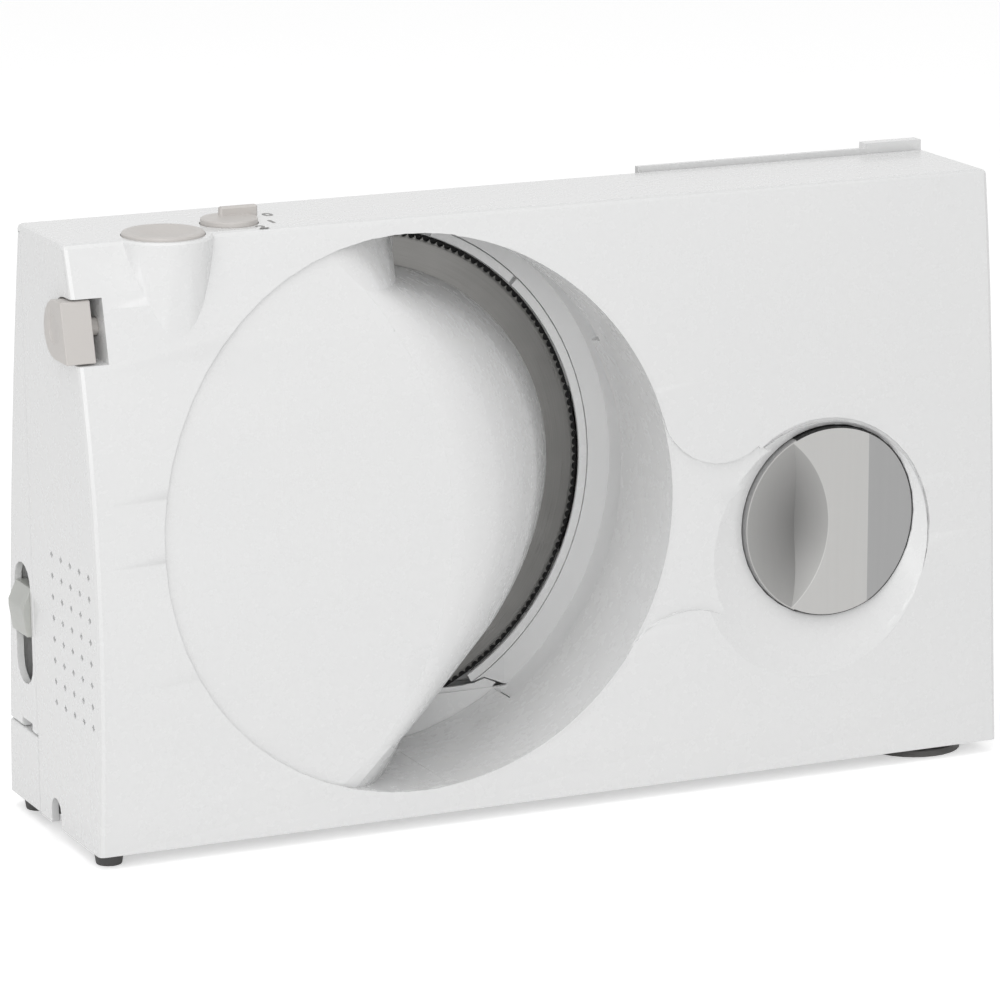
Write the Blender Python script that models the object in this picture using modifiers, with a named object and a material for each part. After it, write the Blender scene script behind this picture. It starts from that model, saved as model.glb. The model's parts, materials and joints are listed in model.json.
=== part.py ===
# Folding food slicer, folded for storage. X runs right along the slice side, Y back to the food side, Z up.
import bpy
import bmesh
from math import acos, asin, cos, degrees, pi, radians, sin
from mathutils import Matrix, Vector

MM = 0.001

# Fits shared by all pieces
WALL = 2.4 * MM
GAP = 0.3 * MM
PRESS_GAP = 0.1 * MM
OVERRUN = 6.0 * MM
LAP = 0.6 * MM
WELD = 0.002 * MM
FLAT = 0.0001 * MM
FLUSH_STEP = 2.0 ** -20
FLUSH_DEG = 0.05

# Body outline: the front face is ruled between a left and a right profile
BODY_W = 334.0 * MM
BODY_H = 198.0 * MM
SIDE_INSET = 3.3 * MM
LEFT_LEAN = 15.5 * MM
LEFT_BULGE = 7.0 * MM
RIGHT_LEAN = 14.0 * MM
RIGHT_BULGE = -3.3 * MM
EDGE_ROUND = 1.6 * MM
SHELL_BACK = 57.3 * MM
SEAM_Y = 55.0 * MM
CHEEK_W = 17.0 * MM
CHEEK_TOP_Y = 57.4 * MM
CHEEK_FOOT_Y = 84.6 * MM
CHEEK_BULGE = 4.0 * MM
SEAM_Z = 26.0 * MM
FACE_STATIONS = 10
FACE_COLUMNS = 3
HALF_W = BODY_W / 2

# Round well and swept island in the front face
BLADE_R = 85.0 * MM
WELL_MARGIN = 7.0 * MM
WELL_X = -HALF_W + 117.5 * MM
WELL_Z = 100.8 * MM
WELL_R = BLADE_R + WELL_MARGIN
WELL_STEPS = 48
ROUND_STEPS = 32
RECESS = 1.3 * MM
ISLAND_EDGE_R = BLADE_R - 12.0 * MM
ISLAND_TOP_DEG = 77.5
ISLAND_LOW_DEG = -45.0
ISLAND_TIP_X = WELL_X + 16.0 * MM
ISLAND_FOOT_X = WELL_X + 12.5 * MM
ISLAND_FOOT_Z = WELL_Z - 78.1 * MM
EDGE_ARC_SHARE = 0.75
CREST_X = WELL_X - 109.5 * MM
CREST_R = 120.0 * MM
CREST_HALF_DEG = 38.6
CREST_END_DEG = 57.0
SWEEP_STEPS = 6
SWEEP_STATIONS = 12

# Keyhole neck and knob dish
DISH_X = 100.0 * MM
DISH_Z = 78.5 * MM
DISH_R = 41.0 * MM
DISH_RIM_Y = 2.5 * MM
DISH_FLOOR_Y = 6.0 * MM
NECK_TOP_X = 61.0 * MM
NECK_TOP_Z = 131.0 * MM
NECK_TOP_R = 23.0 * MM
NECK_LOW_X = 48.0 * MM
NECK_LOW_Z = 30.0 * MM
NECK_LOW_R = 29.0 * MM

# Thickness knob and its spindle
KNOB_X = 103.0 * MM
KNOB_Z = 83.5 * MM
KNOB_R = 32.8 * MM
KNOB_FACE_Y = 3.8 * MM
KNOB_DEPTH = 10.0 * MM
KNOB_WALL = 2.2 * MM
SCOOP_DEPTH = 5.0 * MM
SCOOP_END_SHARE = 0.47
SCOOP_VALLEY_IN = 3.4 * MM
SCOOP_RIGHT_OUT = 14.2 * MM
SCOOP_REACH_SHARE = 0.96
SCOOP_STATIONS = 10
KNOB_STRIP_SHARE = 0.42
KNOB_STRIP_DROP = 1.2 * MM
SPINDLE_R = 7.0 * MM
SPINDLE_END_Y = 41.5 * MM
HUB_OUTER_R = 9.5 * MM
COLLAR_R = 13.0 * MM
COLLAR_T = 2.0 * MM
NUT_WALL = 3.5 * MM
NUT_START_Y = 36.0 * MM

# Stop plate with its curved skirt and guide pins
PLATE_Y = 57.0 * MM
PLATE_T = 2.4 * MM
PLATE_TRAVEL = 15.0 * MM
PLATE_EDGE_GAP = 3.6 * MM
PLATE_BAND_DEG = 70.0
PLATE_TOP_DEG = 38.0
PLATE_LOW_DEG = -50.0
PLATE_FOOT_Z = 24.4 * MM
PLATE_SHOULDER_X = HALF_W - 110.0 * MM
PLATE_RIM = 2.0 * MM
PLATE_RIM_DEPTH = 6.0 * MM
SKIRT_T = 2.0 * MM
SKIRT_DEPTH = 25.0 * MM
SLOT_LOW_DEG = -57.0
SLOT_MIDDLE_DEG = 30.0
SLOT_TOP_DEG = 72.0
SLOT_TOP_Y = 33.0 * MM
PIN_R = 3.0 * MM
PIN_PLACES = ((HALF_W - 87.0 * MM, BODY_H - 33.0 * MM), (HALF_W - 26.0 * MM, 38.0 * MM))
PIN_LENGTH = 31.0 * MM
PIN_SLEEVE_WALL = 2.2 * MM
PIN_SLEEVE_END_Y = 36.0 * MM

# Blade, hub, shaft and their bushes
BLADE_X = WELL_X - 2.0 * MM
BLADE_Z = WELL_Z + 1.6 * MM
BLADE_Y = 58.0 * MM
BLADE_T = 1.4 * MM
BLADE_TEETH = 100
TOOTH_DEPTH = 1.0 * MM
BLADE_DISH_R = 46.0 * MM
BLADE_DISH_DEPTH = 1.9 * MM
BLADE_DISH_RUN = 4.0 * MM
BLADE_LAP_R = BLADE_R - 7.0 * MM
HUB_R = 22.0 * MM
HUB_T = 1.0 * MM
NECK_R = 9.0 * MM
SHAFT_R = 5.0 * MM
SHAFT_START_Y = 12.0 * MM
FRONT_BUSH_LENGTH = 8.0 * MM
REAR_BUSH_LENGTH = 6.6 * MM
BUSH_WALL = 2.7 * MM
LOCK_R = 16.5 * MM
LOCK_FACE_Y = 59.8 * MM
LOCK_GRIP_R = 3.4 * MM
GUARD_IN_GAP = 1.5 * MM
GUARD_W = 3.5 * MM
GUARD_TOP_DEG = 96.0
GUARD_LOW_DEG = 255.0

# Rear cover
COVER_T = 2.0 * MM
POCKET_R = BLADE_DISH_R + BLADE_DISH_RUN + 4.0 * MM
POCKET_DEPTH = 3.5 * MM
COVER_EDGE_IN = 4.3 * MM
COVER_TIP_IN = 14.0 * MM
COVER_STEPS = 32

# Gear train
GEAR_Y = 40.0 * MM
GEAR_W = 6.0 * MM
GEAR_MODULE = 2.0 * MM
BLADE_GEAR_TEETH = 52
MIDDLE_SMALL_TEETH = 13
FAST_MODULE = 1.2 * MM
MIDDLE_LARGE_TEETH = 40
PINION_TEETH = 10
FAST_W = 4.8 * MM
FAST_GAP = 0.4 * MM
MIDDLE_DEG = 215.0
MOTOR_DEG = 225.0
MIDDLE_PIN_R = 3.0 * MM
GEAR_WEB_T = 2.4 * MM
GEAR_RIM = 5.0 * MM
GEAR_HUB_R = 12.0 * MM
TOOTH_ROOT_SHARE = 0.30
TOOTH_TIP_SHARE = 0.13

# Motor
MOTOR_R = 21.0 * MM
MOTOR_FRONT_Y = 1.0 * MM
MOTOR_LENGTH = 34.0 * MM
MOTOR_SHAFT_R = 2.5 * MM
MOTOR_CUP_DEPTH = 18.0 * MM
MOTOR_BEARING = 9.0 * MM
FAN_R = 14.8 * MM
FAN_HUB_R = 5.0 * MM
FAN_BLADES = 7
FAN_BLADE_T = 1.0 * MM
FAN_Y = 37.0 * MM
FAN_W = 5.5 * MM

# Buttons, selector and switch block on the left
ON_X = -HALF_W + 35.7 * MM
ON_Y = 19.8 * MM
ON_R = 13.4 * MM
ON_PROUD = 1.2 * MM
ON_DISH = 1.4 * MM
ON_TRAVEL = 3.0 * MM
ON_STEM_R = 3.6 * MM
ON_BOSS_R = 16.2 * MM
ON_BOSS_LOW_R = 12.5 * MM
ON_BOSS_LOW_Z = BODY_H - 44.0 * MM
ON_STEP_Z = BODY_H - 14.0 * MM
ON_DISH_SHARE = 0.72
ON_DISH_FLOOR_SHARE = 0.5
SPRING_R = 7.0 * MM
SPRING_WIRE_R = 0.5 * MM
SPRING_TURNS = 4
SELECT_X = -HALF_W + 62.2 * MM
SELECT_Y = 29.4 * MM
SELECT_R = 9.4 * MM
SELECT_PROUD = 1.8 * MM
SELECT_SINK = 1.8 * MM
SELECT_STEM_R = 3.0 * MM
SELECT_STEM_LENGTH = 12.0 * MM
SELECT_CUP_DEPTH = 7.0 * MM
FIN_H = 4.6 * MM
FIN_T = 2.6 * MM
FIN_BACK = 4.8 * MM
FIN_LEFT = -1.6 * MM
FIN_RIGHT = 11.6 * MM
SAFETY_Y = 16.0 * MM
SAFETY_Z = BODY_H - 27.0 * MM
SAFETY_R = 10.0 * MM
SAFETY_PROUD = 3.6 * MM
SAFETY_INNER_X = -HALF_W + 7.0 * MM
SAFETY_TRAVEL = 3.5 * MM
SAFETY_STEM_R = 3.0 * MM
SAFETY_STEM_LENGTH = 16.0 * MM
SAFETY_SET_BACK = 0.8 * MM
SWITCH_W = 34.0 * MM
SWITCH_D = 18.0 * MM
SWITCH_H = 20.0 * MM
SWITCH_SHELF_LAP = 2.0 * MM

# Side vents, cable notch and snap window
VENT_COLUMNS = 5
VENT_ROWS = 8
VENT_R = 1.3 * MM
VENT_PITCH_Y = 8.5 * MM
VENT_PITCH_Z = 7.1 * MM
VENT_FIRST_Y = 2.0 * MM
VENT_FIRST_Z = 43.0 * MM
NOTCH_Y = 40.0 * MM
NOTCH_W = 9.0 * MM
NOTCH_H = 7.2 * MM
NOTCH_DEPTH = 14.0 * MM
SNAP_Y = 65.4 * MM
SNAP_W = 9.6 * MM
SNAP_H = 3.5 * MM

# Fold lock in the cheek
SLOT_Y = 65.5 * MM
SLOT_W = 15.0 * MM
SLOT_LOW_Z = 42.0 * MM
SLOT_TOP_Z = 83.5 * MM
LEVER_LOW_Z = 59.5 * MM
LEVER_TOP_Z = 76.0 * MM
LEVER_PROUD = 2.8 * MM
LEVER_SLOPE = 6.0 * MM
SLIDER_T = 2.0 * MM
SLIDER_LOW_Z = 46.0 * MM
SLIDER_TOP_Z = 84.0 * MM
SLIDER_LAP = 1.2 * MM

# Base frame and table hinge
TRAY_T = 2.4 * MM
SILL_BACK_Y = 66.5 * MM
SILL_H = 14.9 * MM
HINGE_Y = 72.0 * MM
HINGE_Z = 12.5 * MM
HINGE_PIN_R = 2.4 * MM
HINGE_BARREL_R = 5.0 * MM
HINGE_PIN_REACH = 11.0 * MM
HINGE_PIN_ROOT = 5.0 * MM
LUG_W = 16.0 * MM

# Table, its running plate and the carriage
TABLE_FACE_Y = 67.9 * MM
TABLE_FOOT_Z = 8.5 * MM
TABLE_RIM_Y = 60.0 * MM
TABLE_STEP_Z = BODY_H - 72.0 * MM
TABLE_TOP_Z = BODY_H - 2.5 * MM
TABLE_SKIN = 2.2 * MM
TABLE_MIN_T = 2.2 * MM
TABLE_RIBS = 4
TABLE_POCKET_LOW_Z = 30.0 * MM
TABLE_POCKET_TOP_Z = TABLE_STEP_Z - 14.0 * MM
TABLE_PLATE_T = 1.5 * MM
TABLE_PLATE_LOW_Z = 26.0 * MM
TABLE_PLATE_TOP_Z = TABLE_STEP_Z - 4.0 * MM
LIP_LEFT_X = HALF_W - 110.0 * MM
LIP_TOP_Z = BODY_H + 1.6 * MM
TAB_LEFT_X = HALF_W - 22.0 * MM
TAB_TOP_Z = BODY_H + 3.2 * MM
TAB_REACH = 5.0 * MM
TONGUE_T = 2.0 * MM
TONGUE_REACH = 3.0 * MM
CARRIAGE_W = 150.0 * MM
CARRIAGE_X = BLADE_X + 6.5 * MM
CARRIAGE_T = 3.6 * MM
CARRIAGE_LOW_Z = 25.0 * MM
GRIP_RIBS = 9
GRIP_RIB_T = 2.0 * MM
GRIP_RIB_H = 3.2 * MM
GRIP_MARGIN = 12.0 * MM

# Feet and screws
FOOT_H = 4.5 * MM
FOOT_R = 5.0 * MM
FOOT_PEG_R = 2.0 * MM
SUCTION_R = 17.0 * MM
SUCTION_X = HALF_W - 22.0 * MM
SUCTION_Y = 21.0 * MM
SUCTION_NECK_R = 8.0 * MM
SUCTION_RIM_SHARE = 0.92
SUCTION_CONE_SHARE = 0.86
SUCTION_CUP_SHARE = 0.8
FOOT_TAPER_SHARE = 0.85
FOOT_PLACES = {
    "front_left": (-HALF_W + 9.5 * MM, 8.5 * MM),
    "rear_left": (-HALF_W + 10.0 * MM, 76.0 * MM),
    "rear_right": (HALF_W - 9.0 * MM, 74.0 * MM),
}
SCREW_R = 1.5 * MM
SCREW_HEAD_R = 2.8 * MM
SCREW_HEAD_H = 1.4 * MM
SCREW_LENGTH = 15.0 * MM
POST_R = 4.0 * MM
POST_DEPTH_Y = 38.0 * MM
SCREW_PLACES = ((-HALF_W + 22.0 * MM, 120.0 * MM), (-HALF_W + 22.0 * MM, 21.0 * MM),
                (-HALF_W + 71.0 * MM, BODY_H - 12.0 * MM), (-HALF_W + 79.0 * MM, 22.0 * MM))


def new_collection(name):
    collection = bpy.data.collections.new(name)
    bpy.context.scene.collection.children.link(collection)
    return collection


def clear_scene():
    for obj in list(bpy.data.objects):
        bpy.data.objects.remove(obj, do_unlink=True)


clear_scene()
parts = new_collection("food_slicer")
slicer = bpy.data.objects.new("slicer", None)
parts.objects.link(slicer)


def plastic(name, colour, roughness=0.3, metallic=0.0):
    material = bpy.data.materials.new(name)
    material.use_nodes = True
    shader = material.node_tree.nodes["Principled BSDF"]
    shader.inputs["Base Color"].default_value = (*colour, 1.0)
    shader.inputs["Roughness"].default_value = roughness
    shader.inputs["Metallic"].default_value = metallic
    return material


white_gloss = plastic("white_gloss_plastic", (0.83, 0.83, 0.82), 0.22)
grey_button = plastic("warm_grey_plastic", (0.60, 0.58, 0.56), 0.4)
silver = plastic("silver_knob", (0.52, 0.52, 0.51), 0.35, 0.6)
blade_steel = plastic("blade_steel", (0.50, 0.49, 0.47), 0.3, 1.0)
bright_steel = plastic("bright_steel", (0.65, 0.65, 0.66), 0.25, 1.0)
bronze = plastic("sintered_bronze", (0.55, 0.40, 0.22), 0.45, 1.0)
gear_nylon = plastic("gear_nylon", (0.75, 0.73, 0.66), 0.5)
black_plastic = plastic("black_plastic", (0.03, 0.03, 0.03), 0.45)
zinc_steel = plastic("zinc_steel", (0.45, 0.46, 0.48), 0.4, 0.9)
rubber = plastic("dark_grey_rubber", (0.10, 0.10, 0.10), 0.7)


# Mesh helpers
def add_mesh(name, mesh):
    obj = bpy.data.objects.new(name, mesh)
    parts.objects.link(obj)
    return obj


def freeze(obj):
    bpy.context.view_layer.update()
    depsgraph = bpy.context.evaluated_depsgraph_get()
    mesh = bpy.data.meshes.new_from_object(obj.evaluated_get(depsgraph))
    if obj.type == "MESH":
        obj.modifiers.clear()
        obj.data = mesh
        return obj
    mesh.transform(obj.matrix_world)
    bm = bmesh.new()
    bm.from_mesh(mesh)
    bmesh.ops.remove_doubles(bm, verts=bm.verts, dist=WELD)
    bm.to_mesh(mesh)
    bm.free()
    name = obj.name
    bpy.data.objects.remove(obj, do_unlink=True)
    return add_mesh(name, mesh)


def tidy(obj):
    """Round to a fine binary step so that flush faces stay flush, and leave only flat faces."""
    bm = bmesh.new()
    bm.from_mesh(obj.data)
    for vert in bm.verts:
        vert.co = [round(value / FLUSH_STEP) * FLUSH_STEP for value in vert.co]
    bmesh.ops.remove_doubles(bm, verts=bm.verts, dist=WELD)
    bmesh.ops.dissolve_limit(bm, angle_limit=radians(FLUSH_DEG), verts=bm.verts, edges=bm.edges)
    bmesh.ops.dissolve_degenerate(bm, dist=WELD, edges=bm.edges)
    uneven = []
    for face in bm.faces:
        start, normal = face.verts[0].co, face.normal
        if max(abs((vert.co - start).dot(normal)) for vert in face.verts) > FLAT:
            uneven.append(face)
    bmesh.ops.triangulate(bm, faces=uneven)
    bm.to_mesh(obj.data)
    bm.free()


def boolean(target, operation, tools):
    tidy(target)
    for tool in tools:
        tidy(tool)
        modifier = target.modifiers.new(operation.lower(), "BOOLEAN")
        modifier.operation = operation
        modifier.object = tool
        freeze(target)
        bpy.data.objects.remove(tool, do_unlink=True)
        tidy(target)
    return target


def cut(target, *tools):
    return boolean(target, "DIFFERENCE", tools)


def join(target, *tools):
    return boolean(target, "UNION", tools)


def keep(target, *tools):
    return boolean(target, "INTERSECT", tools)


AXIS_TURNS = {
    "X": Matrix(((0, 0, 1, 0), (1, 0, 0, 0), (0, 1, 0, 0), (0, 0, 0, 1))),
    "Y": Matrix(((1, 0, 0, 0), (0, 0, -1, 0), (0, 1, 0, 0), (0, 0, 0, 1))),
    "Z": Matrix.Identity(4),
}
AXIS_VECTORS = {"X": Vector((1, 0, 0)), "Y": Vector((0, 1, 0)), "Z": Vector((0, 0, 1))}


def slab(name, rings, axis, low, high):
    """Flat outline of one or more rings, extruded along an axis from low to high."""
    curve = bpy.data.curves.new(name, "CURVE")
    curve.dimensions = "2D"
    curve.fill_mode = "BOTH"
    curve.extrude = (high - low) / 2
    for ring in rings:
        spline = curve.splines.new("POLY")
        spline.points.add(len(ring) - 1)
        for point, (across, up) in zip(spline.points, ring):
            point.co = (across, up, 0, 1)
        spline.use_cyclic_u = True
    obj = bpy.data.objects.new(name, curve)
    parts.objects.link(obj)
    middle = AXIS_VECTORS[axis] * ((low + high) / 2)
    obj.matrix_world = Matrix.Translation(middle) @ AXIS_TURNS[axis]
    return freeze(obj)


def box(name, low, high):
    bm = bmesh.new()
    bmesh.ops.create_cube(bm, size=1)
    mesh = bpy.data.meshes.new(name)
    bm.to_mesh(mesh)
    bm.free()
    low, high = Vector(low), Vector(high)
    size = high - low
    mesh.transform(Matrix.Translation((low + high) / 2) @ Matrix.Diagonal((*size, 1)))
    return add_mesh(name, mesh)


def drum(name, centre, radius, axis, low, high, steps=32, far_radius=None):
    """Cylinder or cone along an axis. The centre is given across the axis, in X, Y, Z order."""
    bm = bmesh.new()
    far = radius if far_radius is None else far_radius
    bmesh.ops.create_cone(bm, cap_ends=True, segments=steps, radius1=radius, radius2=far, depth=high - low)
    mesh = bpy.data.meshes.new(name)
    bm.to_mesh(mesh)
    bm.free()
    middle = (low + high) / 2
    if axis == "X":
        turn = Matrix.Rotation(pi / 2, 4, "Y")
        place = Vector((middle, centre[0], centre[1]))
    elif axis == "Y":
        turn = Matrix.Rotation(-pi / 2, 4, "X")
        place = Vector((centre[0], middle, centre[1]))
    else:
        turn = Matrix.Identity(4)
        place = Vector((centre[0], centre[1], middle))
    mesh.transform(Matrix.Translation(place) @ turn)
    return add_mesh(name, mesh)


def turned(name, profile, centre, steps=48):
    """Solid turned about an axis along Y. The profile lists (radius, y) down its outer side from the back."""
    mesh = bpy.data.meshes.new(name)
    points = [(radius, 0, y) for radius, y in profile]
    edges = [(i, i + 1) for i in range(len(points) - 1)]
    if profile[0][0] > 0 or profile[-1][0] > 0:
        edges.append((len(points) - 1, 0))
    mesh.from_pydata(points, edges, [])
    obj = add_mesh(name, mesh)
    screw = obj.modifiers.new("turn", "SCREW")
    screw.steps = steps
    screw.render_steps = steps
    screw.use_merge_vertices = True
    screw.merge_threshold = WELD
    freeze(obj)
    obj.data.transform(Matrix.Translation((centre[0], 0, centre[1])) @ Matrix.Rotation(-pi / 2, 4, "X"))
    return obj


def loft(name, rings):
    """Closed skin through rings of equal length, capped at both ends."""
    bm = bmesh.new()
    rows = [[bm.verts.new(point) for point in ring] for ring in rings]
    count = len(rings[0])
    for first, second in zip(rows, rows[1:]):
        for i in range(count):
            j = (i + 1) % count
            bm.faces.new((first[i], first[j], second[j], second[i]))
    bm.faces.new(rows[0])
    bm.faces.new(reversed(rows[-1]))
    bmesh.ops.recalc_face_normals(bm, faces=bm.faces)
    mesh = bpy.data.meshes.new(name)
    bm.to_mesh(mesh)
    bm.free()
    return add_mesh(name, mesh)


def trim(obj, point, normal):
    """Cut off what lies beyond a plane and close the cut."""
    bm = bmesh.new()
    bm.from_mesh(obj.data)
    everything = list(bm.verts) + list(bm.edges) + list(bm.faces)
    result = bmesh.ops.bisect_plane(bm, geom=everything, plane_co=point, plane_no=normal, clear_outer=True)
    rim = [item for item in result["geom_cut"] if isinstance(item, bmesh.types.BMEdge)]
    bmesh.ops.edgenet_fill(bm, edges=rim)
    bmesh.ops.recalc_face_normals(bm, faces=bm.faces)
    bm.to_mesh(obj.data)
    bm.free()
    return obj


def bevel(obj, width, segments=2, limit_degrees=50):
    modifier = obj.modifiers.new("round", "BEVEL")
    modifier.width = width
    modifier.segments = segments
    modifier.limit_method = "ANGLE"
    modifier.angle_limit = radians(limit_degrees)
    return freeze(obj)


def arc(centre_x, centre_z, radius, start, end, steps):
    """Points on a circle between two angles in degrees."""
    points = []
    for i in range(steps + 1):
        angle = radians(start + (end - start) * i / steps)
        points.append((centre_x + radius * cos(angle), centre_z + radius * sin(angle)))
    return points


def rectangle(left, low, right, top):
    return [(left, low), (right, low), (right, top), (left, top)]


def joint_frame(name, place, parent=None):
    """Empty on a joint's axis."""
    empty = bpy.data.objects.new(name, None)
    parts.objects.link(empty)
    empty.parent = parent or slicer
    empty.location = Vector(place) - (frame_places[parent.name] if parent else Vector())
    frame_places[name] = Vector(place)
    return empty


frame_places = {}


def finish(obj, name, material, frame=None, smooth_degrees=35):
    """Name a piece, give it its material and hang it on its joint's empty."""
    obj.name = name
    obj.data.name = name
    obj.data.materials.clear()
    obj.data.materials.append(material)
    obj.data.shade_smooth()
    obj.data.set_sharp_from_angle(angle=radians(smooth_degrees))
    if frame is None:
        obj.parent = slicer
    else:
        obj.data.transform(Matrix.Translation(-frame_places[frame.name]))
        obj.parent = frame
    return obj


# Body surfaces
def front_y(x, z):
    up_share = z / BODY_H
    across_share = (x + HALF_W) / BODY_W
    lean = LEFT_LEAN + (RIGHT_LEAN - LEFT_LEAN) * across_share
    bulge = LEFT_BULGE + (RIGHT_BULGE - LEFT_BULGE) * across_share
    return lean * up_share ** 3 - 4 * bulge * up_share * (1 - up_share)


def left_x(z):
    return -HALF_W + SIDE_INSET * (1 - z / BODY_H)


def cheek_y(z):
    up_share = z / BODY_H
    straight = CHEEK_FOOT_Y + (CHEEK_TOP_Y - CHEEK_FOOT_Y) * up_share
    return straight + 4 * CHEEK_BULGE * up_share * (1 - up_share)


def body_solid(name, side, front, low, top, back):
    """Body between two heights, its sides and front moved in by the given walls."""
    rings = []
    for i in range(FACE_STATIONS + 1):
        z = low + (top - low) * i / FACE_STATIONS
        left, right = left_x(z) + side, HALF_W - side
        ring = []
        for j in range(FACE_COLUMNS + 1):
            x = left + (right - left) * j / FACE_COLUMNS
            ring.append((x, front_y(x, z) + front, z))
        ring += [(right, back, z), (left, back, z)]
        rings.append(ring)
    return loft(name, rings)


# Front housing
def island_edge(share):
    """Point of the island's edge over the blade: an arc, then a straight chord to its foot."""
    if share <= EDGE_ARC_SHARE:
        angle = radians(ISLAND_TOP_DEG + (ISLAND_LOW_DEG - ISLAND_TOP_DEG) * share / EDGE_ARC_SHARE)
        return BLADE_X + ISLAND_EDGE_R * cos(angle), BLADE_Z + ISLAND_EDGE_R * sin(angle)
    start_x, start_z = island_edge(EDGE_ARC_SHARE)
    part = (share - EDGE_ARC_SHARE) / (1 - EDGE_ARC_SHARE)
    return start_x + (ISLAND_FOOT_X - start_x) * part, start_z + (ISLAND_FOOT_Z - start_z) * part


def sweep_ends(inset):
    """Edge points beyond the well's rim, straight above the tip and straight below the foot."""
    reach = WELL_R + OVERRUN + 2 * inset
    return (ISLAND_TIP_X, WELL_Z + reach), (ISLAND_FOOT_X, WELL_Z - reach)


def sweep_cutter(name, inset):
    """Space in front of the island's swept face, which falls back to the blade as a parabola."""
    rings = []
    above, below = sweep_ends(inset)
    stations = [(CREST_END_DEG, above), ((CREST_END_DEG + CREST_HALF_DEG) / 2, Vector(above).lerp(Vector(island_edge(0)), 1 / 2))]
    for i in range(SWEEP_STATIONS + 1):
        share = i / SWEEP_STATIONS
        stations.append((CREST_HALF_DEG * (1 - 2 * share), island_edge(share)))
    stations.append((-CREST_END_DEG, below))
    for crest_deg, edge in stations:
        crest_angle = radians(crest_deg)
        crest = Vector((CREST_X + (CREST_R - inset) * cos(crest_angle), WELL_Z + (CREST_R - inset) * sin(crest_angle)))
        edge = Vector(edge)
        run = edge - crest
        edge -= run.normalized() * inset
        start_y = front_y(crest.x, crest.y) + RECESS + inset
        ring = [(crest.x, -BLADE_R, crest.y)]
        for step in range(SWEEP_STEPS + 1):
            part = step / SWEEP_STEPS
            flat = crest.lerp(edge, part)
            ring.append((flat.x, start_y + (SHELL_BACK - start_y) * part ** 2, flat.y))
        beyond = edge + run.normalized() * (OVERRUN + inset)
        ring.append((edge.x, SHELL_BACK + OVERRUN, edge.y))
        ring.append((beyond.x, SHELL_BACK + OVERRUN, beyond.y))
        ring.append((beyond.x, -BLADE_R, beyond.y))
        rings.append(ring)
    return loft(name, rings)


def island_outline(outer_r, inset):
    """Outline of the island: the well's left side, the foot chord and the edge over the blade."""
    top_deg = degrees(acos((ISLAND_TIP_X - inset - WELL_X) / outer_r))
    low_deg = 360 - degrees(acos((ISLAND_FOOT_X - inset - WELL_X) / outer_r))
    points = arc(WELL_X, WELL_Z, outer_r, top_deg, low_deg, WELL_STEPS // 2)
    edge = []
    for i in range(SWEEP_STATIONS * 2 + 1):
        x, z = island_edge(1 - i / (SWEEP_STATIONS * 2))
        run = Vector((x - BLADE_X, z - BLADE_Z))
        x, z = Vector((x, z)) - run.normalized() * inset
        edge.append((x, z))
    return points + edge + [(ISLAND_TIP_X - inset, edge[-1][1] + LAP)]


def keyhole_outline():
    """Well circle, neck and dish circle in one outline, joined by two round fillets."""
    def meeting(cx, cz, fillet_x, fillet_z):
        run = Vector((fillet_x - cx, fillet_z - cz))
        return degrees(run.angle_signed(Vector((1, 0))))

    well_top = meeting(WELL_X, WELL_Z, NECK_TOP_X, NECK_TOP_Z)
    well_low = meeting(WELL_X, WELL_Z, NECK_LOW_X, NECK_LOW_Z)
    dish_top = meeting(DISH_X, DISH_Z, NECK_TOP_X, NECK_TOP_Z)
    dish_low = meeting(DISH_X, DISH_Z, NECK_LOW_X, NECK_LOW_Z)
    points = arc(WELL_X, WELL_Z, WELL_R, well_top, 360 + well_low, WELL_STEPS)
    points += arc(NECK_LOW_X, NECK_LOW_Z, NECK_LOW_R, 180 + well_low, 180 + dish_low, 10)
    points += arc(DISH_X, DISH_Z, DISH_R, dish_low, dish_top, 36)
    points += arc(NECK_TOP_X, NECK_TOP_Z, NECK_TOP_R, dish_top - 180, well_top - 180, 10)
    return points


def ring_sector(name, inner, outer, start, end, low, high, steps=40):
    points = arc(WELL_X, WELL_Z, outer, start, end, steps) + arc(WELL_X, WELL_Z, inner, end, start, steps)
    return slab(name, [points], "Y", low, high)


def dish_solid(name, extra):
    """Sloping cone between the dish's rim on the face and the knob's hole."""
    rim = Vector((DISH_X, DISH_Z, DISH_R))
    floor = Vector((KNOB_X, KNOB_Z, KNOB_R + GAP))
    slope = (rim - floor) / (DISH_FLOOR_Y - DISH_RIM_Y)
    rings = []
    for y in (DISH_RIM_Y - OVERRUN, DISH_FLOOR_Y + extra):
        cx, cz, radius = floor + slope * (DISH_FLOOR_Y - y)
        circle = arc(cx, cz, radius + extra, 0, 360, ROUND_STEPS)[:-1]
        rings.append([(x, y, z) for x, z in circle])
    return loft(name, rings)


def switch_low_z():
    return ON_BOSS_LOW_Z - GAP - SWITCH_H


def knob_floor_y():
    return KNOB_FACE_Y + KNOB_DEPTH + GAP


def bush_seat_r():
    return SHAFT_R + GAP / 2 + BUSH_WALL + GAP


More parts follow.
